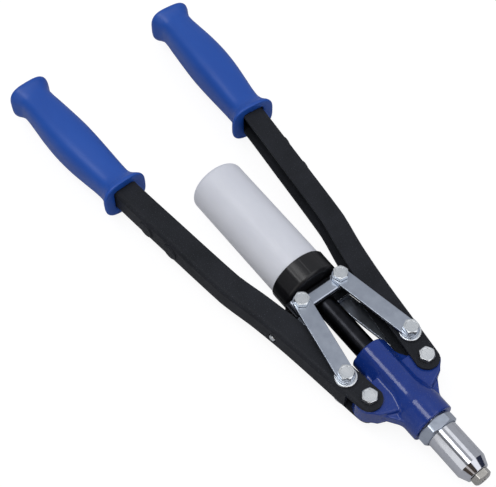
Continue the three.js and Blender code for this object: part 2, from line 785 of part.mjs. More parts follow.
function jawCase() {
  return turned([
    [CASE_REAR, TUBE_THREAD_HOLE],
    [CASE_REAR, CASE_RADIUS],
    [CASE_FRONT - 3, CASE_RADIUS],
    [CASE_FRONT, CASE_RADIUS - 2.4],
    [CASE_FRONT, CASE_MOUTH_RADIUS],
    [CASE_CONE_START, CASE_CAVITY_RADIUS],
    [TUBE_FRONT + 1, CASE_CAVITY_RADIUS],
    [TUBE_FRONT, TUBE_THREAD_HOLE],
    [CASE_REAR, TUBE_THREAD_HOLE],
  ]);
}

function jawLockNut() {
  const front = CASE_REAR - GAP;
  const rear = TUBE_FRONT_SHOULDER + GAP;
  return cut(hexX(CASE_LOCK_NUT_FLATS, rear, front), rodX(TUBE_THREAD_HOLE, rear - 1, front + 1));
}

// One third of the jaw cone, cut free of its neighbours.
function jaw(index) {
  const cone = turned([
    [JAW_REAR, JAW_BORE],
    [JAW_REAR, coneRadius(JAW_REAR) - GAP],
    [JAW_FRONT, coneRadius(JAW_FRONT) - GAP],
    [JAW_FRONT, JAW_BORE],
    [JAW_REAR, JAW_BORE],
  ]);
  const reach = 10;
  const halfSlot = GAP / 2 + 0.1;
  const half = Math.PI / JAW_COUNT;
  const apex = halfSlot / Math.sin(half);
  const wedge = [
    [apex, 0],
    [apex + reach * Math.cos(half), reach * Math.sin(half)],
    [apex + reach, 0],
    [apex + reach * Math.cos(half), -reach * Math.sin(half)],
  ];
  const sector = plate(wedge, JAW_REAR - 1, JAW_FRONT + 1).rotate([0, 90, 0]);
  const turn = (360 / JAW_COUNT) * index;
  return cone.intersect(sector.rotate([turn, 0, 0]));
}

function jawPusher() {
  const front = JAW_REAR - GAP;
  return turned([
    [PUSHER_REAR, PUSHER_BORE],
    [PUSHER_REAR, 4.4],
    [PUSHER_REAR + 5, 4.4],
    [PUSHER_REAR + 5, 6.2],
    [front - 2, 6.2],
    [front, 4.6],
    [front, PUSHER_BORE],
    [PUSHER_REAR, PUSHER_BORE],
  ]);
}

// The spring's wire centre line: a helix round X.
class Helix extends THREE.Curve {
  constructor(radius, x0, x1, turns) {
    super();
    Object.assign(this, { radius, x0, x1, turns });
  }

  getPoint(t, target = new THREE.Vector3()) {
    const turn = 2 * Math.PI * this.turns * t;
    const x = THREE.MathUtils.lerp(this.x0, this.x1, t);
    return target.set(x, this.radius * Math.cos(turn), this.radius * Math.sin(turn));
  }
}

function jawSpring() {
  const rear = TUBE_FRONT + GAP + SPRING_WIRE;
  const front = PUSHER_REAR + 5 - GAP - SPRING_WIRE;
  const wire = new THREE.Shape();
  wire.absarc(0, 0, SPRING_WIRE, 0, 2 * Math.PI, false);
  const geometry = new THREE.ExtrudeGeometry(wire, {
    steps: SPRING_TURNS * 10,
    curveSegments: 3,
    extrudePath: new Helix(SPRING_RADIUS, rear, front, SPRING_TURNS),
  });
  return solid(geometry);
}

function addJaws() {
  addPiece("jaw_case", jawCase(), MATERIALS.blackOxide);
  addPiece("jaw_lock_nut", jawLockNut(), MATERIALS.blackOxide);
  for (let i = 0; i < JAW_COUNT; i += 1) {
    addPiece(`jaw_${i + 1}`, jaw(i), MATERIALS.hardenedSteel);
  }
  addPiece("jaw_pusher", jawPusher(), MATERIALS.hardenedSteel);
  addPiece("jaw_spring", jawSpring(), MATERIALS.zinc);
}

// ---- Assembly ----

addPiece("body_casting", bodyCasting(), MATERIALS.blueEnamel);
addNose();
for (const side of SIDES) {
  addBoltAndNut(side, "arm_pivot", ARM_PIVOT, ARM_HALF);
  addArm(side);
  addPiece(`${side}_grip`, grip(side), MATERIALS.blueGrip);
  addBoltAndNut(side, "link_pivot", LINK_PIVOT, LINK_TOP);
  addPiece(`${side}_upper_link`, linkPlate(side, LINK_BOTTOM, LINK_TOP), MATERIALS.zinc);
  addPiece(`${side}_lower_link`, linkPlate(side, -LINK_TOP, -LINK_BOTTOM), MATERIALS.zinc);
  addBoltAndNut(side, "crosshead", CROSSHEAD_PIVOT, LINK_TOP);
}
addPullHead();
addJaws();

// The origin is the centre of the whole part's bounding box.
const bounds = new THREE.Box3().setFromObject(tool, true);
tool.position.copy(bounds.getCenter(new THREE.Vector3())).multiplyScalar(-1);

const part = new THREE.Group();
part.add(tool);

export default part;
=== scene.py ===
"""Looks for the hand riveter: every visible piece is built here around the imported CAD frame.

Lengths are millimetres from the midpoint between the two arm pivots, with X along the mandrel
axis towards the nose, until write_mesh() turns them into metres in the frame.
"""

import json
import math

import bmesh
import bpy
import numpy as np
from mathutils import Matrix, Vector


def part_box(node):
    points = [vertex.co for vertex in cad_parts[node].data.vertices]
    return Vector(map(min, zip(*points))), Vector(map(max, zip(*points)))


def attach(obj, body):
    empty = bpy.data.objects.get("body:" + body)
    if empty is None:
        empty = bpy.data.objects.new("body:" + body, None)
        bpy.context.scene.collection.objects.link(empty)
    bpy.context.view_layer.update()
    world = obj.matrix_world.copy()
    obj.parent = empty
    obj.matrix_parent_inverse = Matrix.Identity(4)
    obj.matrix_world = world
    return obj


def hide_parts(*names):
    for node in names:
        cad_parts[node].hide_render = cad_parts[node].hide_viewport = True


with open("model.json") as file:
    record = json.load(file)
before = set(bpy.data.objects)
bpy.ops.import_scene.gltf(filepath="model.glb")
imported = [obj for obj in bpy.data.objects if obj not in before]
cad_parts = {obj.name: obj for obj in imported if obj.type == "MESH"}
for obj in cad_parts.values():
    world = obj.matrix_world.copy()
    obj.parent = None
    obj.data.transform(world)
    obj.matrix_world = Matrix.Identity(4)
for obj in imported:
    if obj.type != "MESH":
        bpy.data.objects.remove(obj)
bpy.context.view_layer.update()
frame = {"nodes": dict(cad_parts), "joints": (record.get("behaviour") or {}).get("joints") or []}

# ---- Places and sizes, from the frame ----

MM = 0.001
JOINTS = {joint["name"]: joint for joint in frame["joints"]}
PIVOT_X = JOINTS["left_arm_pivot"]["pos_m"][0]
SIDES = {"left": -1, "right": 1}


def span(node):
    """A CAD node's lowest and highest corners."""
    shift = Vector((PIVOT_X, 0, 0))
    return tuple((corner - shift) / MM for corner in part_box(node))


def middle(node):
    """The centre of a CAD node's box."""
    low, high = span(node)
    return (low + high) / 2


ARM_PIVOT_Y = JOINTS["right_arm_pivot"]["pos_m"][1] / MM
LINK_PIVOT = Vector(JOINTS["right_link_pivot"]["pos_m"][:2]) / MM - Vector((PIVOT_X / MM, 0))
CROSSHEAD_PIVOT = middle("right_crosshead_bolt").xy
BOLT_RADIUS = 3
BOLT_HOLE = 3.3
BOLT_FLATS = 10
ARM_SHEET = 2

# ---- Mesh helpers ----

SEGMENTS = 96


def write_mesh(name, vertices, faces):
    """A new object from vertices in millimetres, with its faces turned outwards."""
    mesh = bpy.data.meshes.new(name)
    metres = np.asarray(vertices, float) * MM + (PIVOT_X, 0, 0)
    mesh.from_pydata(metres.tolist(), [], faces)
    work = bmesh.new()
    work.from_mesh(mesh)
    bmesh.ops.remove_doubles(work, verts=work.verts, dist=1e-7)
    bmesh.ops.recalc_face_normals(work, faces=work.faces)
    work.to_mesh(mesh)
    work.free()
    made = bpy.data.objects.new(name, mesh)
    bpy.context.scene.collection.objects.link(made)
    return made


def add_piece(made, body, look, node, crease=35):
    """Finishes a piece: creased smooth shading, look, body and the CAD node it replaces."""
    made.data.polygons.foreach_set("use_smooth", [True] * len(made.data.polygons))
    made.data.set_sharp_from_angle(angle=math.radians(crease))
    shading = made.modifiers.new("shading", "WEIGHTED_NORMAL")
    shading.keep_sharp = True
    shading.weight = 90
    made.data.materials.clear()
    made.data.materials.append(MATERIALS[look])
    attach(made, body)
    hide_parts(node)


def rounded(points, closed=False, steps=5):
    """A line through (a, b, radius) points, each corner with a radius turned into an arc."""
    line = []
    count = len(points)
    for i, (a, b, radius) in enumerate(points):
        corner = Vector((a, b))
        if radius == 0 or (not closed and i in (0, count - 1)):
            line.append((a, b))
            continue
        before = (Vector(points[i - 1][:2]) - corner).normalized()
        after = (Vector(points[(i + 1) % count][:2]) - corner).normalized()
        half = before.angle(after) / 2
        reach = radius / math.tan(half)
        centre = corner + (before + after).normalized() * (radius / math.sin(half))
        start = corner + before * reach - centre
        sweep = start.angle_signed(corner + after * reach - centre)
        for step in range(steps + 1):
            turned = Matrix.Rotation(-sweep * step / steps, 2) @ start
            line.append(tuple(centre + turned))
    return line


def spun(rows, segments=SEGMENTS, closed=False, start=0.0):
    """Turns (height, radius) rows round an axis. Each is a number or one value per segment.
    A row of radius 0 closes to a point, and a closed solid joins its last row to its first."""
    angles = start + np.arange(segments) * 2 * math.pi / segments
    vertices = []
    rings = []
    for height, radius in rows:
        base = len(vertices)
        if np.ndim(radius) == 0 and abs(radius) < 1e-9:
            vertices.append((0.0, 0.0, float(height)))
            rings.append([base])
            continue
        radii = np.broadcast_to(radius, segments)
        heights = np.broadcast_to(height, segments)
        vertices.extend(zip(radii * np.cos(angles), radii * np.sin(angles), heights))
        rings.append(list(range(base, base + segments)))
    return np.array(vertices, float), ring_faces(rings, closed)


def ring_faces(rings, closed=False):
    """Faces between rings of vertex numbers; a ring of one is a point."""
    faces = []
    pairs = list(zip(rings, rings[1:]))
    if closed:
        pairs.append((rings[-1], rings[0]))
    for lower, upper in pairs:
        count = max(len(lower), len(upper))
        for i in range(count):
            j = (i + 1) % count
            if len(lower) == 1:
                faces.append((lower[0], upper[j], upper[i]))
            elif len(upper) == 1:
                faces.append((lower[i], lower[j], upper[0]))
            else:
                faces.append((lower[i], lower[j], upper[j], upper[i]))
    return faces


def along_x(solid, x=0.0, y=0.0, z=0.0):
    """Lays a spun solid along X, its angle running from +Y towards +Z."""
    vertices, faces = solid
    return vertices[:, [2, 0, 1]] + (x, y, z), faces


def along_z(solid, x=0.0, y=0.0, z=0.0):
    vertices, faces = solid
    return vertices + (x, y, z), faces


def rod_rows(low, high, radius):
    """Rows of a plain round rod, used for cutting."""
    return [(low, 0), (low, radius), (high, radius), (high, 0)]


def hex_radii(flats):
    """The radii of a hexagon with slightly blunt corners, one of them at the start angle."""
    angles = np.arange(SEGMENTS) * 2 * math.pi / SEGMENTS
    from_flat = angles % (math.pi / 3) - math.pi / 6
    return np.minimum(flats / 2 / np.cos(from_flat), flats / math.sqrt(3) * 0.985)


def hex_rows(flats, low, high, chamfer_low=True):
    """Rows of a hexagon whose ends are chamfered by a 30 degree cone, as a nut's are."""
    radii = hex_radii(flats)
    face = flats / 2 * 0.95
    drop = (radii - face) * math.tan(math.radians(30))
    rows = [(low, face), (low + drop, radii)] if chamfer_low else [(low, radii)]
    return rows + [(high - drop, radii), (high, face)]


def thread_rows(radius, low, high, pitch):
    """Rows of a screw thread from low to high."""
    depth = 0.55 * pitch
    turn = np.arange(SEGMENTS) / SEGMENTS
    count = int((high - low) / pitch * 6)
    rows = []
    for height in np.linspace(low, high, count + 1):
        phase = (height / pitch - turn) % 1.0
        ridge = np.clip(1.6 * (1 - np.abs(2 * phase - 1)) - 0.3, 0, 1)
        fade = min(1.0, (height - low) / pitch, (high - height) / pitch)
        rows.append((height, radius - depth * (1 - ridge * max(0.0, fade))))
    return rows


def plate(name, outlines, low, high, edge):
    """A flat plate from closed outlines, the first its outside and the others its holes."""
    curve = bpy.data.curves.new(name, "CURVE")
    curve.dimensions = "2D"
    curve.fill_mode = "BOTH"
    curve.extrude = (high - low) / 2 - edge
    curve.bevel_depth = edge
    curve.bevel_resolution = 2
    curve.offset = -edge
    for outline in outlines:
        spline = curve.splines.new("POLY")
        spline.points.add(len(outline) - 1)
        for point, (x, y) in zip(spline.points, outline):
            point.co = (x, y, 0, 1)
        spline.use_cyclic_u = True
    shape = bpy.data.objects.new(name, curve)
    mesh = bpy.data.meshes.new_from_object(shape)
    vertices = np.array([v.co for v in mesh.vertices]) + (0, 0, (low + high) / 2)
    faces = [tuple(p.vertices) for p in mesh.polygons]
    bpy.data.objects.remove(shape)
    bpy.data.curves.remove(curve)
    bpy.data.meshes.remove(mesh)
    return write_mesh(name, vertices, faces)


def circle(x, y, radius):
    turns = [2 * math.pi * i / 48 for i in range(48)]
    return [(x + radius * math.cos(t), y + radius * math.sin(t)) for t in turns]


def combine(target, tool, operation):
    """Joins, cuts or intersects target with tool, which is used up."""
    modifier = target.modifiers.new("combine", "BOOLEAN")
    modifier.operation = operation
    modifier.solver = "EXACT"
    modifier.object = tool
    depsgraph = bpy.context.evaluated_depsgraph_get()
    mesh = bpy.data.meshes.new_from_object(target.evaluated_get(depsgraph))
    target.modifiers.clear()
    target.data = mesh
    bpy.data.objects.remove(tool)
    return target


# ---- Cast shapes: a distance field turned into a mesh ----


def polygon_distance(x, y, points):
    """Signed distance to a polygon in a plane."""
    nearest = np.full(np.shape(x), np.inf)
    sign = np.ones(np.shape(x))
    for (ax, ay), (bx, by) in zip(points, points[1:] + points[:1]):
        ex, ey = bx - ax, by - ay
        wx, wy = x - ax, y - ay
        along = np.clip((wx * ex + wy * ey) / (ex * ex + ey * ey), 0, 1)
        nearest = np.minimum(nearest, (wx - along * ex) ** 2 + (wy - along * ey) ** 2)
        upward = (y >= ay) & (y < by) & (ex * wy > ey * wx)
        downward = (y < ay) & (y >= by) & (ex * wy < ey * wx)
        sign = np.where(upward | downward, -sign, sign)
    return sign * np.sqrt(nearest)


def raised(plan, height, half, edge):
    """A plan's distance raised to a slab of half thickness, with rounded edges."""
    over = [plan + edge, np.abs(height) - half + edge]
    outside = np.sqrt(sum(np.maximum(o, 0) ** 2 for o in over))
    return outside + np.minimum(np.maximum(*over), 0) - edge


def blended(a, b, fillet):
    """The union of two distances with a fillet where they meet."""
    near = np.maximum(fillet - np.abs(a - b), 0) / fillet
    return np.minimum(a, b) - near * near * fillet / 4


def net(distance, low, high, step):
    """Vertices and faces of a distance function's zero surface, by surface nets."""
    axes = [np.arange(a - 2 * step, b + 2 * step, step) for a, b in zip(low, high)]
    grid = np.meshgrid(*axes, indexing="ij")
    value = distance(*grid)
    inside = value < 0
    shape = np.array(value.shape) - 1
    crossings = np.zeros((*shape, 3))
    count = np.zeros(shape)
    for axis in range(3):
        others = [a for a in range(3) if a != axis]
        for offset in ((0, 0), (0, 1), (1, 0), (1, 1)):
            first = [slice(0, -1)] * 3
            for other, move in zip(others, offset):
                first[other] = slice(move, move - 1 if move == 0 else None)
            second = list(first)
            second[axis] = slice(1, None)
            a, b = value[tuple(first)], value[tuple(second)]
            crossed = (a < 0) != (b < 0)
            share = np.where(crossed, a / np.where(crossed, a - b, 1), 0)
            count += crossed
            crossings[..., axis] += np.where(crossed, share, 0)
            for other, move in zip(others, offset):
                crossings[..., other] += crossed * move
    active = count > 0
    number = np.full(shape, -1)
    number[active] = np.arange(active.sum())
    cells = np.argwhere(active)
    origin = np.array([a[0] for a in axes])
    vertices = origin + (cells + crossings[active] / count[active][:, None]) * step
    faces = []
    for axis in range(3):
        others = [a for a in range(3) if a != axis]
        first = [slice(1, -1)] * 3
        first[axis] = slice(0, -1)
        second = list(first)
        second[axis] = slice(1, None)
        changed = np.argwhere(inside[tuple(first)] != inside[tuple(second)])
        place = changed.copy()
        for other in others:
            place[:, other] += 1
        corners = []
        for moves in ((0, 0), (1, 0), (1, 1), (0, 1)):
            cell = place.copy()
            for other, move in zip(others, moves):
                cell[:, other] -= move
            corners.append(number[cell[:, 0], cell[:, 1], cell[:, 2]])
        faces.append(np.stack(corners, 1))
    for _ in range(3):
        vertices = settle(distance, vertices, step / 4)
    return vertices, np.concatenate(faces).tolist()


def settle(distance, vertices, reach):
    """Moves vertices onto the surface along the field's slope."""
    here = distance(*vertices.T)
    slope = np.stack([
        distance(*(vertices + offset).T) - distance(*(vertices - offset).T)
        for offset in np.eye(3) * reach
    ], 1) / (2 * reach)
    steep = np.maximum((slope ** 2).sum(1), 0.25)
    return vertices - slope * (here / steep)[:, None]


# ---- Materials ----


class Nodes:
    """Builds a shader: make() adds a node and joins the sockets given as its inputs."""

    def __init__(self, owner, shader):
        owner.use_nodes = True
        self.owner = owner
        self.tree = owner.node_tree
        self.shader = self.tree.nodes[shader]

    def make(self, kind, inputs=None, **settings):
        node = self.tree.nodes.new("ShaderNode" + kind)
        for key, value in settings.items():
            setattr(node, key, value)
        for key, value in (inputs or {}).items():
            self.feed(node.inputs[key], value)
        return node

    def feed(self, socket, value):
        """Joins an input to the socket given as its value, or sets it."""
        if isinstance(value, bpy.types.NodeSocket):
            self.tree.links.new(value, socket)
        else:
            socket.default_value = value

    def set(self, **values):
        """Sets shader inputs, a value or a socket; an underscore stands for a space."""
        for key, value in values.items():
            self.feed(self.shader.inputs[key.replace("_", " ")], value)

    def place(self, stretch=(1, 1, 1)):
        """Object coordinates in metres, stretched."""
        coordinates = self.make("TexCoord").outputs["Object"]
        return self.make("Mapping", {"Vector": coordinates, "Scale": stretch}).outputs[0]

    def noise(self, scale, detail=3, stretch=(1, 1, 1), roughness=0.55):
        inputs = {"Vector": self.place(stretch), "Scale": scale, "Detail": detail}
        inputs["Roughness"] = roughness
        return self.make("TexNoise", inputs).outputs["Fac"]

    def ranged(self, value, low, high, start=0.0, end=1.0):
        """A value mapped from start..end to low..high."""
        inputs = {"Value": value, "From Min": start, "From Max": end}
        inputs |= {"To Min": low, "To Max": high}
        return self.make("MapRange", inputs).outputs["Result"]

    def mixed(self, share, first, second):
        """Two colours mixed; 6 and 7 are the Mix node's colour inputs and 2 its colour output."""
        return self.make("Mix", {0: share, 6: first, 7: second}, data_type="RGBA").outputs[2]

    def calculated(self, operation, first, second):
        return self.make("Math", {0: first, 1: second}, operation=operation).outputs[0]

    def bump(self, height, distance, strength=1.0, normal=None):
        inputs = {"Height": height, "Distance": distance, "Strength": strength}
        if normal is not None:
            inputs["Normal"] = normal
        return self.make("Bump", inputs).outputs["Normal"]


def srgb(red, green, blue):
    """An sRGB colour in 0..255 as linear RGBA."""
    def linear(value):
        share = value / 255
        return share / 12.92 if share <= 0.04045 else ((share + 0.055) / 1.055) ** 2.4
    return (linear(red), linear(green), linear(blue), 1.0)


def new_look():
    return Nodes(bpy.data.materials.new("look"), "Principled BSDF")


def enamel(deep, light, roughness, gloss=0.5):
    """Sprayed enamel: soft orange peel, faint colour drift and dust in the film."""
    nodes = new_look()
    drift = nodes.noise(40, 4)
    dust = nodes.ranged(nodes.noise(1500, 2), 0, 1, 0.62, 0.7)
    colour = nodes.mixed(nodes.ranged(drift, 0, 1, 0.35, 0.65), deep, light)
    colour = nodes.mixed(nodes.ranged(dust, 0, 0.12), colour, srgb(150, 158, 175))
    waves = nodes.bump(nodes.noise(420, 2), 0.00006)
    nodes.set(Base_Color=colour, Normal=waves, IOR=1.5, Specular_IOR_Level=gloss)
    nodes.set(Roughness=nodes.ranged(nodes.noise(90, 3), roughness - 0.04, roughness + 0.07))
    return nodes.owner


def moulded(deep, light, roughness, grain=0.00003):
    """Moulded plastic: fine spark-eroded grain, slight flow marks and rubbed shine."""
    nodes = new_look()
    flow = nodes.noise(28, 4, stretch=(0.4, 1, 1))
    colour = nodes.mixed(nodes.ranged(flow, 0, 1, 0.35, 0.68), deep, light)
    fine = nodes.bump(nodes.noise(2600, 2), grain, 0.6)
    broad = nodes.bump(nodes.noise(160, 2), 0.00005, 0.5, fine)
    nodes.set(Base_Color=colour, Normal=broad, IOR=1.48)
    nodes.set(Roughness=nodes.ranged(nodes.noise(55, 3), roughness - 0.06, roughness + 0.08))
    return nodes.owner


def plated(deep, light, roughness, brush=(1, 1, 1), depth=0.00001):
    """Plated steel: fine drawn lines under the plating, small pits and cloudy tarnish."""
    nodes = new_look()
    cloud = nodes.noise(120, 5)
    colour = nodes.mixed(nodes.ranged(cloud, 0, 1, 0.3, 0.7), deep, light)
    lines = nodes.noise(900, 3, stretch=brush)
    pits = nodes.ranged(nodes.noise(1300, 2), 0, 1, 0.66, 0.74)
    grain = nodes.bump(lines, depth, 0.7)
    nodes.set(Base_Color=nodes.mixed(nodes.ranged(pits, 0, 0.25), colour, deep))
    nodes.set(Normal=nodes.bump(pits, -depth * 2, 0.6, grain))
    nodes.set(Metallic=1.0)
    nodes.set(Roughness=nodes.ranged(nodes.noise(260, 3), roughness - 0.07, roughness + 0.08))
    return nodes.owner


def frosted():
    """Blow-moulded plastic; a faint glow stands for the light that the bottle's wall passes."""
    nodes = new_look()
    cloud = nodes.noise(30, 4, stretch=(0.5, 1, 1))
    deep, light = srgb(187, 190, 199), srgb(198, 201, 209)
    colour = nodes.mixed(nodes.ranged(cloud, 0, 1, 0.3, 0.7), deep, light)
    fine = nodes.bump(nodes.noise(1800, 2), 0.00002, 0.5)
    broad = nodes.bump(nodes.noise(70, 2), 0.0001, 0.4, fine)
    nodes.set(Base_Color=colour, Normal=broad, Roughness=0.42, IOR=1.5)
    nodes.set(Subsurface_Weight=0.35, Subsurface_Scale=0.004, Subsurface_Radius=(1.0, 1.0, 1.1))
    nodes.set(Emission_Color=srgb(244, 245, 250), Emission_Strength=0.17)
    return nodes.owner


MATERIALS = {
    "blue_enamel": enamel(srgb(22, 52, 132), srgb(28, 60, 142), 0.13),
    "black_enamel": enamel(srgb(34, 36, 40), srgb(41, 43, 48), 0.5, 0.1),
    "blue_plastic": moulded(srgb(22, 76, 168), srgb(28, 84, 178), 0.42),
    "black_plastic": moulded(srgb(14, 14, 17), srgb(20, 20, 23), 0.34, 0.00004),
    "black_oxide": plated(srgb(34, 35, 38), srgb(46, 47, 51), 0.3, (0.05, 1, 1)),
    "zinc": plated(srgb(170, 178, 191), srgb(188, 196, 208), 0.3, (0.12, 1, 1)),
    "zinc_fastener": plated(srgb(224, 229, 232), srgb(242, 245, 246), 0.28),
    "chrome": plated(srgb(205, 207, 213), srgb(214, 216, 221), 0.1, (0.02, 1, 1), 2e-6),
    "nickel": plated(srgb(176, 174, 168), srgb(198, 195, 189), 0.26),
    "tool_steel": plated(srgb(110, 112, 116), srgb(140, 142, 146), 0.35),
    "frosted": frosted(),
}
for name, material in MATERIALS.items():
    material.name = name

# ---- Casting ----

SLEEVE_REAR = span("body_casting")[0].x
NECK_REAR = 20.3
NECK_FRONT = span("body_casting")[1].x
NECK_RADIUS = span("body_casting")[1].z
SLEEVE_RADIUS = 13.8
SLEEVE_EDGE = 1.3
CROWN_REAR = 7.5
CROWN_REAR_RADIUS = 12.8
NECK_EDGE = 0.9
EAR_EDGE = 1.0
WEB_EDGE = 0.8
FLATS_HALF_WIDTH = 16.1
FLATS_HALF_HEIGHT = 21.1
EAR_RADIUS = 9.6
EAR_HALF = 7.7
WEB_HALF = 4
SLEEVE_BORE = 8.3
CASE_BORE = 9.4
CASE_BORE_REAR = 8
BARREL_BORE = 11.4
BARREL_SEAT = 21.5
EAR_PLAN = [
    (-8.8, 8),
    (-8.8, 20.6),
    (-6.8, 31.7),
    (5.4, 32.9),
    (12.6, 26.4),
    (18.5, 12),
    (18.5, 8),
]
FRONT_WEB_PLAN = [(8, 8), (8, 28.5), (13, 24), (25.5, 15), (25.5, 8)]
REAR_WEB_PLAN = [(-18, 8), (-18, 12), (-8, 19.2), (-8, 8)]


def softened(a, b, radius):
    """The overlap of two distances with its edge rounded."""
    return -blended(-a, -b, radius)


def sleeve_distance(x, side, height):
    """A round sleeve with four long flats, which make a rhombus across the axis."""
    slant = math.hypot(FLATS_HALF_WIDTH, FLATS_HALF_HEIGHT)
    across, upward = FLATS_HALF_HEIGHT / slant, FLATS_HALF_WIDTH / slant
    flat = (side - FLATS_HALF_WIDTH) * across + height * upward
    section = softened(np.hypot(side, height) - SLEEVE_RADIUS, flat, 0.6)
    middle_x = (SLEEVE_REAR + NECK_REAR) / 2
    return raised(section, x - middle_x, (NECK_REAR - SLEEVE_REAR) / 2, SLEEVE_EDGE)


def neck_distance(x, around):
    """The neck, with the crown that swells from the sleeve to it."""
    share = np.clip((x - CROWN_REAR) / (NECK_REAR - CROWN_REAR), 0, 1)
    radius = CROWN_REAR_RADIUS + (NECK_RADIUS - CROWN_REAR_RADIUS) * share
    middle_x = (CROWN_REAR + NECK_FRONT) / 2
    return raised(around - radius, x - middle_x, (NECK_FRONT - CROWN_REAR) / 2, NECK_EDGE)


def casting_distance(x, y, z):
    """The casting's outside and bores; its quarters are alike, so y and z are folded."""
    side = np.abs(y)
    around = np.hypot(y, z)
    outside = blended(sleeve_distance(x, side, np.abs(z)), neck_distance(x, around), 0.8)
    lobe = np.hypot(x, side - ARM_PIVOT_Y) - EAR_RADIUS
    ear_plan = blended(polygon_distance(x, side, EAR_PLAN), lobe, 1.5)
    ear = raised(ear_plan, z, EAR_HALF, EAR_EDGE)
    for plan in (FRONT_WEB_PLAN, REAR_WEB_PLAN):
        web = raised(polygon_distance(x, side, plan), z, WEB_HALF, WEB_EDGE)
        ear = blended(ear, web, 1.2)
    outside = blended(outside, ear, 1.8)
    bores = [
        around - SLEEVE_BORE,
        np.maximum(around - CASE_BORE, CASE_BORE_REAR - x),
        np.maximum(around - BARREL_BORE, BARREL_SEAT - x),
        np.hypot(x, side - ARM_PIVOT_Y) - BOLT_HOLE,
    ]
    return np.maximum(outside, -np.minimum.reduce(bores))


def build_casting():
    low, high = span("body_casting")
    step = 0.5
    vertices, faces = net(casting_distance, low, high, step)
    made = write_mesh("casting", vertices, faces)
    add_piece(made, "body", "blue_enamel", "body_casting", crease=50)


# ---- Nose ----

LOCK_NUT_FLATS = 24.5
LOCK_NUT_TURN = 7
BARREL_CONE = 6.7
BARREL_FRONT_RADIUS = 8.1
BARREL_MOUTH = 5.2
BARREL_MOUTH_LENGTH = 5
NOSEPIECE_HEAD = 5
NOSEPIECE_STEM = 7
NOSEPIECE_THREAD = 4.9
NOSEPIECE_FLATS = 12
NOSEPIECE_TURN = 6
NOSEPIECE_HOLE = 2.0


def build_lock_nut():
    low, high = span("nose_lock_nut")
    solid = nut_solid(low.x, high.x, LOCK_NUT_FLATS, BARREL_BORE, LOCK_NUT_TURN)
    made = write_mesh("lock_nut", *along_x(solid))
    add_piece(made, "body", "zinc", "nose_lock_nut", crease=22)


def build_barrel():
    low, high = span("nose_barrel")
    outer = high.z
    profile = rounded([
        (low.x, CASE_BORE, 0),
        (low.x, outer, 0.4),
        (high.x - BARREL_CONE, outer, 0.5),
        (high.x, BARREL_FRONT_RADIUS, 0.5),
        (high.x, BARREL_MOUTH, 0),
        (high.x - BARREL_MOUTH_LENGTH, BARREL_MOUTH, 0),
        (high.x - BARREL_MOUTH_LENGTH - 2, CASE_BORE, 0),
    ])
    solid = spun(profile, segments=128, closed=True)
    made = write_mesh("barrel", *along_x(solid))
    add_piece(made, "body", "chrome", "nose_barrel", crease=30)


def nosepiece_solid(head_rear, hole, start=0.0):
    """A nosepiece along X: chamfered hex head in front of a threaded stem, bored through."""
    radii = hex_radii(NOSEPIECE_FLATS)
    face = NOSEPIECE_FLATS / 2 - 0.9
    drop = (radii - face) * 0.75
    front = head_rear + NOSEPIECE_HEAD
    rear = head_rear - NOSEPIECE_STEM
    rows = [(head_rear, 4.6), (head_rear, radii), (front - drop, radii), (front, face)]
    rows += [(front, hole + 0.5), (front - 0.5, hole), (rear, hole), (rear, hole + 0.8)]
    rows += [(rear + 1, 4.0)]
    rows += thread_rows(NOSEPIECE_THREAD, rear + 1.2, head_rear - 0.4, 1.0)
    return spun(rows, closed=True, start=start)


def build_nosepiece():
    front = span("nosepiece")[1].x
    start = math.radians(NOSEPIECE_TURN)
    solid = nosepiece_solid(front - NOSEPIECE_HEAD, NOSEPIECE_HOLE, start)
    made = write_mesh("nosepiece_fitted", *along_x(solid))
    add_piece(made, "body", "nickel", "nosepiece", crease=22)


# ---- Fasteners ----

# How far each bolt's head is turned, in degrees
HEAD_TURNS = {
    "left": {"arm_pivot": 20, "link_pivot": 50, "crosshead": 56},
    "right": {"arm_pivot": 29, "link_pivot": 58, "crosshead": 23},
}
HEAD_HEIGHT = 3.9
NUT_HEIGHT = 4.6


def bolt_solid(low, high, turn):
    """A hex bolt along Z with a washer face, a chamfered head and a thread at its end."""
    under = high - HEAD_HEIGHT
    tip = [(low, 0), (low, BOLT_RADIUS - 0.7), (low + 0.5, BOLT_RADIUS - 0.45)]
    thread = thread_rows(BOLT_RADIUS, low + 0.6, low + 7.5, 1.0)
    shank = [(low + 7.8, BOLT_RADIUS), (under, BOLT_RADIUS)]
    bearing = [(under, BOLT_FLATS * 0.46), (under + 0.3, BOLT_FLATS * 0.46)]
    head = hex_rows(BOLT_FLATS, under + 0.3, high, chamfer_low=False)
    dish = [(high, BOLT_FLATS * 0.40), (high - 0.12, BOLT_FLATS * 0.38), (high - 0.12, 0)]
    return spun(tip + thread + shank + bearing + head + dish, start=math.radians(turn))


def nut_solid(low, high, flats, bore, turn):
    rows = hex_rows(flats, low, high)
    rows += [(high, bore + 0.4), (high - 0.4, bore), (low + 0.4, bore), (low, bore + 0.4)]
    return spun(rows, closed=True, start=math.radians(turn))


def build_bolts():
    bodies = {"arm_pivot": "body", "link_pivot": "{}_arm", "crosshead": "{}_link"}
    for side in SIDES:
        for label, body in bodies.items():
            turn = HEAD_TURNS[side][label]
            node = f"{side}_{label}_bolt"
            low, high = span(node)
            centre = middle(node)
            solid = along_z(bolt_solid(low.z, high.z, turn), centre.x, centre.y)
            bolt = write_mesh(f"{side}_{label}_hex_bolt", *solid)
            add_piece(bolt, body.format(side), "zinc_fastener", node, crease=22)
            node = f"{side}_{label}_nut"
            low, high = span(node)
            solid = nut_solid(low.z, high.z, BOLT_FLATS, BOLT_HOLE - 0.25, -turn)
            nut = write_mesh(f"{side}_{label}_hex_nut", *along_z(solid, centre.x, centre.y))
            add_piece(nut, body.format(side), "zinc_fastener", node, crease=22)


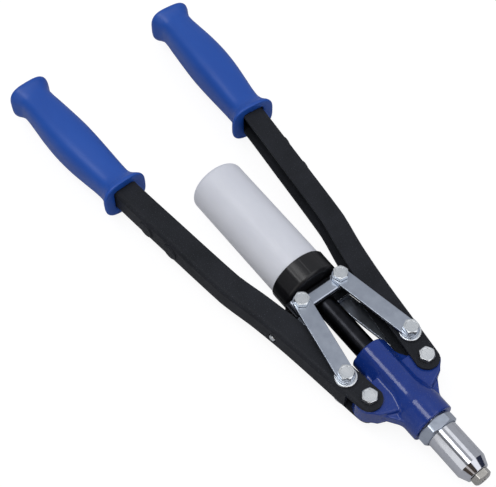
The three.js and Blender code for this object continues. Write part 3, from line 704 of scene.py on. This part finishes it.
def build_washers():
    for side in SIDES:
        for level in ("upper", "lower"):
            node = f"{side}_{level}_washer"
            low, high = span(node)
            outer = (high.x - low.x) / 2
            profile = rounded([
                (low.z, BOLT_HOLE, 0.2),
                (low.z, outer, 0.6),
                (high.z, outer, 0.6),
                (high.z, BOLT_HOLE, 0.2),
            ], closed=True)
            centre = middle(node)
            solid = along_z(spun(profile, closed=True), centre.x, centre.y)
            washer = write_mesh(f"{side}_{level}_flat_washer", *solid)
            add_piece(washer, f"{side}_arm", "zinc_fastener", node)


# ---- Links and crosshead ----

LINK_RADIUS = 6.3
LINK_EDGE = 0.45
BAR_SHOULDER = 12
BAR_INSET_REAR = 2.4
BAR_INSET_FRONT = 0.6
BAR_EDGE = 1.2
BLOCK_EDGE = 0.8
OPEN_HOLE = 4.4
TUBE_HOLE = 6.3


def stadium(a, b, radius):
    """An outline with round ends about two points."""
    along = (b - a).normalized()
    turn = math.atan2(along.y, along.x)
    points = []
    for centre, first in ((b, turn - math.pi / 2), (a, turn + math.pi / 2)):
        for step in range(25):
            angle = first + math.pi * step / 24
            x = centre.x + radius * math.cos(angle)
            y = centre.y + radius * math.sin(angle)
            points.append((x, y))
    return points


def build_links():
    for side, sign in SIDES.items():
        ends = [Vector((p.x, sign * p.y)) for p in (LINK_PIVOT, CROSSHEAD_PIVOT)]
        for level in ("upper", "lower"):
            node = f"{side}_{level}_link"
            low, high = span(node)
            outline = stadium(*ends, LINK_RADIUS)
            holes = [circle(end.x, end.y, BOLT_HOLE) for end in ends]
            name = f"{side}_{level}_link_plate"
            link = plate(name, [outline, *holes], low.z, high.z, LINK_EDGE)
            add_piece(link, f"{side}_link", "zinc", node, crease=40)


def bar_outline(low, high):
    """The crosshead bar's outline: two wide ends and a narrower middle, with soft corners."""
    rear = low.x + BAR_INSET_REAR
    front = high.x - BAR_INSET_FRONT
    return rounded([
        (low.x, low.y, 1.6),
        (high.x, low.y, 1.6),
        (high.x, -BAR_SHOULDER, 0.2),
        (front, -BAR_SHOULDER + 0.6, 0.2),
        (front, BAR_SHOULDER - 0.6, 0.2),
        (high.x, BAR_SHOULDER, 0.2),
        (high.x, high.y, 1.6),
        (low.x, high.y, 1.6),
        (low.x, BAR_SHOULDER, 1.2),
        (rear, BAR_SHOULDER - 1.6, 1.2),
        (rear, -BAR_SHOULDER + 1.6, 1.2),
        (low.x, -BAR_SHOULDER, 1.2),
    ], closed=True)


def crosshead_holes():
    """Wide holes: they leave the bolts the play that the linkage needs."""
    x, y = CROSSHEAD_PIVOT
    return [circle(x, sign * y, OPEN_HOLE) for sign in SIDES.values()]


def build_crosshead():
    for level in ("upper", "lower"):
        node = f"crosshead_{level}_bar"
        low, high = span(node)
        outlines = [bar_outline(low, high), *crosshead_holes()]
        bar = plate(f"{level}_crosshead_bar", outlines, low.z, high.z, BAR_EDGE)
        add_piece(bar, "pull_head", "zinc", node, crease=40)
    low, high = span("pull_block")
    outline = rounded([
        (low.x, low.y, 1.5),
        (high.x, low.y, 1.5),
        (high.x, high.y, 1.5),
        (low.x, high.y, 1.5),
    ], closed=True)
    block = plate("crosshead_block", [outline, *crosshead_holes()], low.z, high.z, BLOCK_EDGE)
    bore = write_mesh("bore", *along_x(spun(rod_rows(low.x - 2, high.x + 2, TUBE_HOLE))))
    combine(block, bore, "DIFFERENCE")
    add_piece(block, "pull_head", "black_oxide", "pull_block", crease=40)


# ---- Pull tube, cap and bottle ----

TUBE_BORE = 4.2
TUBE_THREAD = 6
CAP_RIBS = 12
CAP_RIB_HEIGHT = 0.6
CAP_INSIDE = 21.8
CAP_WALL = 1.7
BOTTLE_WALL = 1.5
BOTTLE_REAR_EDGE = 4.4
BOTTLE_NECK = 18
RETAINING_NUT_FLATS = 19


def build_tube():
    low, high = span("pull_tube")
    rear_shoulder = span("pull_block")[1].x + 0.3
    front_shoulder = span("jaw_lock_nut")[0].x - 0.3
    rows = [(low.x, TUBE_BORE), (low.x, TUBE_THREAD - 0.8)]
    rows += thread_rows(TUBE_THREAD, low.x + 0.6, rear_shoulder - 0.4, 1.25)
    rows += rounded([
        (rear_shoulder, TUBE_THREAD - 0.7, 0),
        (rear_shoulder, high.z, 0.6),
        (front_shoulder, high.z, 0.6),
        (front_shoulder, TUBE_THREAD - 0.7, 0),
    ])
    rows += thread_rows(TUBE_THREAD, front_shoulder + 0.4, high.x - 0.6, 1.25)
    rows += [(high.x, TUBE_THREAD - 0.8), (high.x, TUBE_BORE)]
    made = write_mesh("pull_rod_tube", *along_x(spun(rows, closed=True)))
    add_piece(made, "pull_head", "black_oxide", "pull_tube")


def build_cap():
    """The bottle's cap: narrow ribs run along it and fade out before its rounded front edge."""
    low, high = span("bottle_cap")
    segments = 360
    tip = high.z
    base = tip - CAP_RIB_HEIGHT
    angles = np.arange(segments) * 2 * math.pi / segments
    pitch = 2 * math.pi / CAP_RIBS
    from_rib = np.abs((angles + pitch / 2) % pitch - pitch / 2) * tip
    rib = np.clip((1.5 - from_rib) / 0.7, 0, 1)
    rib = rib * rib * (3 - 2 * rib) * (tip - base)

    def ribbed(x, radius):
        share = np.clip((x - low.x) / 1.2, 0, 1) * np.clip((high.x - 3.2 - x) / 1.5, 0, 1)
        return (x, radius + rib * share)

    hole = TUBE_THREAD + 0.3
    profile = rounded([
        (low.x, CAP_INSIDE, 0),
        (low.x, base, 0.6),
        (high.x, base, 2.6),
        (high.x, hole, 0),
    ], steps=7)
    rows = [ribbed(x, radius) if radius > base - 0.9 else (x, radius) for x, radius in profile]
    side = [i for i, (x, radius) in enumerate(profile) if abs(radius - base) < 1e-6]
    first, last = profile[side[0]][0], profile[side[-1]][0]
    between = np.linspace(first, last, 26)[1:-1]
    rows[side[0] + 1:side[0] + 1] = [ribbed(x, base) for x in between]
    rows += [(high.x - CAP_WALL, hole), (high.x - CAP_WALL, CAP_INSIDE)]
    made = write_mesh("ribbed_cap", *along_x(spun(rows, segments, closed=True)))
    add_piece(made, "pull_head", "black_plastic", "bottle_cap", crease=40)


def build_bottle():
    low, high = span("bottle")
    outer = high.z
    wall = BOTTLE_WALL
    neck = outer - 0.35
    neck_rear = high.x - BOTTLE_NECK
    profile = rounded([
        (low.x + 0.8, 0, 0),
        (low.x + 0.8, outer - 8, 0.6),
        (low.x, outer - 7, 0.6),
        (low.x, outer - 0.1, BOTTLE_REAR_EDGE),
        (neck_rear, neck, 0.3),
        (high.x, neck, 0.4),
        (high.x, neck - wall, 0.3),
        (neck_rear, neck - wall, 0.3),
        (low.x + wall, outer - wall, 2.4),
        (low.x + wall + 0.8, outer - 9, 0.6),
        (low.x + wall + 0.8, 0, 0),
    ], steps=8)
    made = write_mesh("mandrel_bottle", *along_x(spun(profile, segments=144)))
    add_piece(made, "bottle", "frosted", "bottle", crease=50)


def build_retaining_nut():
    low, high = span("cap_retaining_nut")
    solid = nut_solid(low.x, high.x, RETAINING_NUT_FLATS, TUBE_THREAD + 0.05, 30)
    made = write_mesh("retaining_nut", *along_x(solid))
    add_piece(made, "pull_head", "black_oxide", "cap_retaining_nut", crease=22)


# ---- Arms ----


def spline(points, count):
    """Points along a smooth curve through the given ones."""
    knots = np.array(points, float)
    ends = np.vstack([2 * knots[0] - knots[1], knots, 2 * knots[-1] - knots[-2]])
    line = []
    stretches = len(points) - 1
    for i in range(count + 1):
        place = min(i / count * stretches, stretches - 1e-9)
        k = int(place)
        t = place - k
        p0, p1, p2, p3 = ends[k:k + 4]
        line.append(0.5 * (
            2 * p1 + (p2 - p0) * t
            + (2 * p0 - 5 * p1 + 4 * p2 - p3) * t ** 2
            + (3 * p1 - p0 - 3 * p2 + p3) * t ** 3
        ))
    return np.array(line)


ARM_CENTRE_LINE = spline([
    tuple(LINK_PIVOT),
    (-61, 33.4),
    (-94, 39.4),
    (-117, 44.8),
    (-131, 47.2),
    (-180, 52.95),
    (-250, 60.4),
    (-352, 66.7),
], 126)
ARM_WIDENING_AT = (-117, -93, -57)
ARM_WIDENING = (0.35, 0.45, 0.9)
ARM_HALF = 10
ARM_HALF_WIDTH = 8.5
ARM_LOBE = 9.2
ARM_WEB_END = -10.7


def outward_at(line):
    """Unit vectors across a line, pointing towards +Y where it runs towards -X."""
    along = np.gradient(line, axis=0)
    along /= np.linalg.norm(along, axis=1)[:, None]
    return np.stack([along[:, 1], -along[:, 0]], 1)


def arm_at(station):
    """The centre line's point and outward direction at a station along X."""
    order = np.argsort(ARM_CENTRE_LINE[:, 0])
    across = outward_at(ARM_CENTRE_LINE)
    point = (station, np.interp(station, ARM_CENTRE_LINE[order, 0], ARM_CENTRE_LINE[order, 1]))
    way = [np.interp(station, ARM_CENTRE_LINE[order, 0], across[order, i]) for i in (0, 1)]
    return Vector(point), Vector(way).normalized()


def channel_section():
    """The U section: (across, height) with round bends on the web's side."""
    outer = ARM_HALF_WIDTH
    inner = outer - ARM_SHEET
    lip = -ARM_HALF_WIDTH
    top = ARM_HALF
    under = top - ARM_SHEET
    return rounded([
        (lip, top, 0.5),
        (outer, top, 3.6),
        (outer, -top, 3.6),
        (lip, -top, 0.5),
        (lip, -under, 0.5),
        (inner, -under, 1.8),
        (inner, under, 1.8),
        (lip, under, 0.5),
    ], closed=True, steps=6)


def arm_width_share(x):
    """The arm's width over its nominal width; it widens towards the pivots."""
    return 1 + np.interp(x, ARM_WIDENING_AT, ARM_WIDENING) / ARM_HALF_WIDTH


def swept(line, section, sign):
    """A closed solid: the section carried along a line in the XY plane."""
    across = outward_at(line)
    vertices = []
    rings = []
    for point, way in zip(line, across):
        base = len(vertices)
        for out, height in section:
            x, y = point + way * out * arm_width_share(point[0])
            vertices.append((x, sign * y, height))
        rings.append(list(range(base, base + len(section))))
    faces = ring_faces(rings)
    faces += [tuple(rings[0]), tuple(rings[-1])]
    return np.array(vertices), faces


def arm_plan():
    """The arm's outline seen from above, with the round lobe about its pivot."""
    across = outward_at(ARM_CENTRE_LINE)
    half = (ARM_HALF_WIDTH * arm_width_share(ARM_CENTRE_LINE[:, 0]))[:, None]
    outer = ARM_CENTRE_LINE + across * half
    inner = ARM_CENTRE_LINE - across * half
    pivot = Vector((0, ARM_PIVOT_Y))
    first_out = Vector(outer[0]) - pivot
    lobe_start = math.atan2(first_out.y, first_out.x) - math.acos(ARM_LOBE / first_out.length)
    edge = Vector(inner[0]) - pivot
    lobe_end = math.atan2(edge.y, edge.x) + math.acos(ARM_LOBE / edge.length)
    sweep = (lobe_start - lobe_end) % (2 * math.pi)
    lobe = []
    for i in range(41):
        angle = lobe_start - sweep * i / 40
        lobe.append((ARM_LOBE * math.cos(angle), pivot.y + ARM_LOBE * math.sin(angle)))
    return [tuple(p) for p in outer[::-1]] + lobe + [tuple(p) for p in inner]


def prism(name, outline, sign, low, high):
    """A plain prism from an outline in the XY plane, used for cutting."""
    count = len(outline)
    vertices = [(x, sign * y, z) for z in (low, high) for x, y in outline]
    rings = [list(range(count)), list(range(count, 2 * count))]
    faces = ring_faces(rings) + [tuple(rings[0]), tuple(rings[1])]
    return write_mesh(name, vertices, faces)


def bolt_hole_tool(x, y):
    solid = spun(rod_rows(-30, 30, BOLT_HOLE), segments=48)
    return write_mesh("hole", *along_z(solid, x, y))


def through_wall(solid, side, station):
    """Turns a solid built along X so that it points out through the arm's web."""
    vertices, faces = solid
    point, way = arm_at(station)
    sign = SIDES[side]
    seat = point + way * (ARM_HALF_WIDTH - ARM_SHEET)
    turn = Matrix.Rotation(math.atan2(sign * way.y, way.x), 3, "Z")
    placed = np.array(vertices) @ np.array(turn).T + (seat.x, sign * seat.y, 0)
    return placed, faces


SPARE_STATIONS = (-176, -202)
BOSS_RADIUS = 7
BOSS_INSIDE = 3.6
BOSS_OUTSIDE = 1.4
BOSS_END_WALL = 0.2
BOSS_BORE = 5.2
SPARE_HOLES = {"left": (1.4, 2.1), "right": (2.6, 3.4)}
STOP_STATION = -78
STOP_SCREW_INSIDE = 17.2
STOP_SCREW_OUTSIDE = ARM_SHEET + 1.4


def build_channel(side):
    sign = SIDES[side]
    heading = Vector(ARM_CENTRE_LINE[0] - ARM_CENTRE_LINE[1]).normalized()
    lead = [Vector(ARM_CENTRE_LINE[0]) + heading * step for step in (44, 22, 8)]
    line = np.array([tuple(p) for p in lead] + [tuple(p) for p in ARM_CENTRE_LINE])
    channel = write_mesh("channel", *swept(line, channel_section(), sign))
    channel = combine(channel, prism("plan", arm_plan(), sign, -20, 20), "INTERSECT")
    gap = [(ARM_WEB_END, 22), (ARM_WEB_END, 60), (30, 60), (30, 5), (ARM_WEB_END - 1, 5)]
    slab = ARM_HALF - ARM_SHEET
    channel = combine(channel, prism("gap", gap, sign, -slab, slab), "DIFFERENCE")
    for station in SPARE_STATIONS:
        profile = rounded([
            (-BOSS_INSIDE, 0, 0),
            (-BOSS_INSIDE, BOSS_RADIUS, 0.5),
            (ARM_SHEET - 0.3, BOSS_RADIUS, 0),
            (ARM_SHEET + BOSS_OUTSIDE, BOSS_RADIUS - 0.5, 0.9),
            (ARM_SHEET + BOSS_OUTSIDE, 0, 0),
        ])
        boss = write_mesh("boss", *through_wall(along_x(spun(profile)), side, station))
        channel = combine(channel, boss, "UNION")
        rows = rod_rows(-12, ARM_SHEET + BOSS_OUTSIDE - BOSS_END_WALL, BOSS_BORE)
        hole = write_mesh("hole", *through_wall(along_x(spun(rows)), side, station))
        channel = combine(channel, hole, "DIFFERENCE")
    rows = rod_rows(-5, 12, BOLT_HOLE)
    hole = write_mesh("hole", *through_wall(along_x(spun(rows)), side, STOP_STATION))
    channel = combine(channel, hole, "DIFFERENCE")
    for x, y in ((0, ARM_PIVOT_Y), tuple(LINK_PIVOT)):
        channel = combine(channel, bolt_hole_tool(x, sign * y), "DIFFERENCE")
    channel.name = f"{side}_channel"
    node = f"{side}_arm_channel"
    add_piece(channel, f"{side}_arm", "black_enamel", node, crease=32)


def build_arm_fittings(side):
    body = f"{side}_arm"
    for i, station in enumerate(SPARE_STATIONS):
        solid = along_x(nosepiece_solid(0, SPARE_HOLES[side][i]))
        vertices = solid[0] * (-1, -1, 1) - (BOSS_INSIDE + 0.3, 0, 0)
        placed = through_wall((vertices, solid[1]), side, station)
        spare = write_mesh(f"{side}_spare_tip_{i + 1}", *placed)
        node = f"{side}_spare_nosepiece_{i + 1}"
        add_piece(spare, body, "nickel", node, crease=22)
    inside, outside = -STOP_SCREW_INSIDE, STOP_SCREW_OUTSIDE
    rows = [(inside, 0), (inside, 2.2), (inside + 0.6, 2.55)]
    rows += thread_rows(BOLT_RADIUS, inside + 0.7, outside - 0.9, 1.0)
    rows += [(outside - 0.6, 2.5), (outside, 2.1), (outside, 0)]
    placed = through_wall(along_x(spun(rows)), side, STOP_STATION)
    screw = write_mesh(f"{side}_stop_stud", *placed)
    add_piece(screw, body, "zinc_fastener", f"{side}_stop_screw", crease=30)
    solid = along_x(nut_solid(-0.3 - NUT_HEIGHT, -0.3, BOLT_FLATS, BOLT_HOLE - 0.25, 0))
    nut = write_mesh(f"{side}_stop_hex_nut", *through_wall(solid, side, STOP_STATION))
    add_piece(nut, body, "zinc_fastener", f"{side}_stop_nut", crease=22)


# ---- Grips ----

# Each station has its distance from the collar's face, half width, half height, how square its
# section is and how far its middle lies outwards of the grip's axis.
GRIP_STATIONS = [
    (0.0, 17.5, 16.6, 2.9, -0.6),
    (0.5, 18.3, 17.2, 2.9, -0.6),
    (1.5, 18.5, 17.4, 2.9, -0.6),
    (2.8, 17.9, 17.0, 2.9, -0.5),
    (5.5, 15.9, 15.5, 2.9, -0.3),
    (8.5, 14.2, 14.1, 3.0, 0.0),
    (12.0, 13.3, 13.4, 3.0, 0.0),
    (17.0, 13.3, 13.4, 3.0, 0.0),
    (32.0, 14.3, 14.4, 3.0, 0.4),
    (50.0, 15.5, 15.7, 3.0, 0.8),
    (66.0, 15.9, 16.0, 3.0, 0.8),
    (84.0, 15.2, 15.3, 3.0, 0.6),
    (100.0, 14.0, 14.1, 3.0, 0.1),
    (110.0, 13.3, 13.4, 3.0, -0.1),
    (115.0, 13.5, 13.6, 3.0, -0.2),
    (119.5, 15.2, 14.9, 3.1, -0.4),
    (123.0, 16.8, 16.2, 3.2, -0.5),
    (124.8, 16.9, 16.2, 3.2, -0.5),
    (126.2, 15.8, 15.1, 3.1, -0.5),
    (127.0, 13.6, 13.0, 3.0, -0.5),
]
GRIP_LENGTH = GRIP_STATIONS[-1][0]
GRIP_RING = 72
GRIP_FRONT = -235
GRIP_SLOPE = math.atan2(6.0, 98.0)
GRIP_AXIS_X = -250
GRIP_AXIS_Y = 60.5
GRIP_POCKET_DEPTH = 14


def grip_section(half_width, half_height, square, shift=0.0):
    """A superellipse ring of (across, height)."""
    ring = []
    for i in range(GRIP_RING):
        angle = 2 * math.pi * i / GRIP_RING
        c, s = math.cos(angle), math.sin(angle)
        across = math.copysign(abs(c) ** (2 / square), c) * half_width
        height = math.copysign(abs(s) ** (2 / square), s) * half_height
        ring.append((across + shift, height))
    return ring


def pocket_section(margin, square):
    """The mouth that the arm goes into, wider than the arm by a margin."""
    return grip_section(ARM_HALF_WIDTH + margin, ARM_HALF + margin, square)


def smooth_between(stations, values, place):
    """A smooth curve through values at stations, read at place."""
    k = int(np.clip(np.searchsorted(stations, place) - 1, 0, len(stations) - 2))
    slopes = np.gradient(values, stations)
    width = stations[k + 1] - stations[k]
    t = (place - stations[k]) / width
    t2, t3 = t * t, t * t * t
    return (
        (2 * t3 - 3 * t2 + 1) * values[k]
        + (t3 - 2 * t2 + t) * width * slopes[k]
        + (3 * t2 - 2 * t3) * values[k + 1]
        + (t3 - t2) * width * slopes[k + 1]
    )


def grip_rings():
    """The grip's skin as rings at distances from its face: pocket, face, outside and butt."""
    rings = [(depth, pocket_section(0.3, 9)) for depth in (GRIP_POCKET_DEPTH, 7, 1.6)]
    rings += [(0.6, pocket_section(0.5, 8)), (0.0, pocket_section(1.2, 7))]
    rings.append((0.0, pocket_section(3.6, 4)))
    stations = np.array(GRIP_STATIONS)
    distances = np.unique(np.concatenate([
        np.linspace(0, 9, 19), np.linspace(9, 112, 52), np.linspace(112, GRIP_LENGTH, 31),
    ]))
    for distance in distances:
        columns = range(1, stations.shape[1])
        values = [smooth_between(stations[:, 0], stations[:, k], distance) for k in columns]
        rings.append((distance, grip_section(*values)))
    end = rings[-1][1]
    for share in (0.85, 0.6, 0.3):
        rings.append((GRIP_LENGTH + 0.4 * (1 - share), [(a * share, h * share) for a, h in end]))
    return rings


def build_grip(side):
    sign = SIDES[side]
    front_y = GRIP_AXIS_Y - math.tan(GRIP_SLOPE) * (GRIP_FRONT - GRIP_AXIS_X)
    front = Vector((GRIP_FRONT, front_y))
    along = Vector((-math.cos(GRIP_SLOPE), math.sin(GRIP_SLOPE)))
    across = Vector((math.sin(GRIP_SLOPE), math.cos(GRIP_SLOPE)))
    vertices = []
    numbers = []
    for distance, ring in grip_rings():
        base = len(vertices)
        for out, height in ring:
            spot = front + along * distance + across * out
            vertices.append((spot.x, sign * spot.y, height))
        numbers.append(list(range(base, base + len(ring))))
    faces = ring_faces(numbers) + [tuple(numbers[0]), tuple(numbers[-1])]
    made = write_mesh(f"{side}_handle_grip", vertices, faces)
    add_piece(made, f"{side}_arm", "blue_plastic", f"{side}_grip", crease=50)


# ---- Hidden pieces: CAD nodes whose shape is right, given their materials ----

HIDDEN_LOOKS = {
    "black_oxide": ("jaw_case", "jaw_lock_nut"),
    "tool_steel": ("jaw_pusher", "jaw_1", "jaw_2", "jaw_3"),
    "zinc_fastener": ("jaw_spring",),
}


def dress_hidden_nodes():
    for look, nodes in HIDDEN_LOOKS.items():
        for node in nodes:
            materials = frame["nodes"][node].data.materials
            materials.clear()
            materials.append(MATERIALS[look])


# ---- Floor, light and camera ----

CAMERA_AZIMUTH = math.radians(-37.21)
CAMERA_ELEVATION = math.radians(57.53)
CAMERA_ROLL = math.radians(0.20)
CAMERA_DISTANCE = 724
CAMERA_AIM = (98.6, -92.8)
CAMERA_LENS = 79.14


def build_camera():
    back = Vector((
        math.cos(CAMERA_ELEVATION) * math.cos(CAMERA_AZIMUTH),
        math.cos(CAMERA_ELEVATION) * math.sin(CAMERA_AZIMUTH),
        math.sin(CAMERA_ELEVATION),
    ))
    level = Vector((0, 0, 1)).cross(back).normalized()
    upright = back.cross(level)
    right = level * math.cos(CAMERA_ROLL) + upright * math.sin(CAMERA_ROLL)
    up = upright * math.cos(CAMERA_ROLL) - level * math.sin(CAMERA_ROLL)
    place = back * CAMERA_DISTANCE - right * CAMERA_AIM[0] - up * CAMERA_AIM[1]
    camera = bpy.data.objects.new("camera", bpy.data.cameras.new("camera"))
    camera.data.lens = CAMERA_LENS
    camera.data.sensor_width = 36
    camera.data.clip_start = 0.01
    camera.data.clip_end = 20
    turn = Matrix((right, up, back)).transposed().to_4x4()
    camera.matrix_world = Matrix.Translation(place * MM + Vector((PIVOT_X, 0, 0))) @ turn
    bpy.context.scene.collection.objects.link(camera)
    bpy.context.scene.camera = camera


# Strip lights round the mandrel axis: middle and width in degrees from +Y, brightness, and the
# first and last X in metres. The side strips are short, so that the casting does not mirror them.
STRIPS = {
    "right_strip": (67, 24, 0.7, -0.135, 0.6),
    "top_strip": (107, 17, 4.0, -0.9, 0.6),
    "left_strip": (158, 46, 0.8, -0.135, 0.6),
}
STRIP_DISTANCE = 1.5
ROOM_TINT = (0.98, 1, 1.06, 1)
SURROUND = 0.47
FAR_SURROUND = 0.2
DARK_WALLS = ((0.03, 0.035, 0.06, 1), (0.07, 0.055, 0.045, 1))
BRIGHT_WALL = (1.2, 1.2, 1.25, 1)
PALE_WALL = (0.65, 0.6, 0.57, 1)


def build_lights():
    """Long soft strips parallel to the tool."""
    for name, (angle, width, brightness, rear, front) in STRIPS.items():
        light = bpy.data.lights.new(name, "AREA")
        light.shape = "RECTANGLE"
        light.size = front - rear
        light.size_y = 2 * STRIP_DISTANCE * math.tan(math.radians(width / 2))
        light.energy = brightness * math.pi * light.size * light.size_y
        lamp = bpy.data.objects.new(name, light)
        turn = math.radians(angle)
        way = Vector((0, math.cos(turn), math.sin(turn)))
        axes = Matrix((Vector((1, 0, 0)), way.cross(Vector((1, 0, 0))), way)).transposed()
        place = way * STRIP_DISTANCE + Vector(((rear + front) / 2, 0, 0))
        lamp.matrix_world = Matrix.Translation(place) @ axes.to_4x4()
        bpy.context.scene.collection.objects.link(lamp)


def band(nodes, angle, low, high, soft=4):
    """One inside a range of angles, falling softly to nothing outside it."""
    rise = nodes.ranged(angle, 0, 1, low - soft, low)
    fall = nodes.ranged(angle, 1, 0, high, high + soft)
    return nodes.calculated("MULTIPLY", rise, fall)


def build_world():
    """A grey room, darker on one side, and dark beyond the nose but for two pale walls."""
    world = bpy.data.worlds.new("studio")
    nodes = Nodes(world, "Background")
    way = nodes.make("TexCoord").outputs["Generated"]
    parts = nodes.make("SeparateXYZ", {0: way}).outputs
    turn = nodes.calculated("ARCTAN2", parts["Z"], parts["Y"])
    angle = nodes.calculated("MULTIPLY", turn, 180 / math.pi)
    ahead = nodes.ranged(parts["X"], 0, 1, 0.1, 0.3)
    dark = nodes.mixed(nodes.ranged(angle, 0, 1, 60, 120), *DARK_WALLS)
    bright = nodes.mixed(band(nodes, angle, 52, 97), dark, BRIGHT_WALL)
    front = nodes.mixed(band(nodes, angle, 137, 149), bright, PALE_WALL)
    near, far = ([level * part for part in ROOM_TINT] for level in (SURROUND, FAR_SURROUND))
    room = nodes.mixed(nodes.ranged(angle, 0, 1, 116, 124), near, far)
    nodes.set(Color=nodes.mixed(ahead, room, front), Strength=1.0)
    bpy.context.scene.world = world


def build_floor():
    """A pale table: the camera sees it almost white, with a faint shadow under the tool."""
    depth = span("bottle_cap")[0].z * MM - 0.001
    reach = 6
    corners = [(x * reach, y * reach, depth) for x, y in ((-1, -1), (1, -1), (1, 1), (-1, 1))]
    mesh = bpy.data.meshes.new("floor")
    mesh.from_pydata(corners, [], [(0, 1, 2, 3)])
    floor = bpy.data.objects.new("floor", mesh)
    bpy.context.scene.collection.objects.link(floor)
    nodes = new_look()
    seen = nodes.make("LightPath").outputs["Is Camera Ray"]
    nodes.set(Base_Color=nodes.mixed(seen, srgb(196, 197, 200), srgb(110, 110, 112)))
    nodes.set(Roughness=0.9, Specular_IOR_Level=0.2)
    nodes.set(Emission_Color=(1, 1, 1, 1), Emission_Strength=nodes.ranged(seen, 0, 0.9))
    mesh.materials.append(nodes.owner)


# ---- Build ----

build_casting()
build_lock_nut()
build_barrel()
build_nosepiece()
build_bolts()
build_washers()
build_links()
build_crosshead()
build_tube()
build_cap()
build_retaining_nut()
build_bottle()
for side in SIDES:
    build_channel(side)
    build_arm_fittings(side)
    build_grip(side)
dress_hidden_nodes()
build_floor()
build_lights()
build_world()
build_camera()
bpy.context.scene.view_settings.view_transform = "Standard"
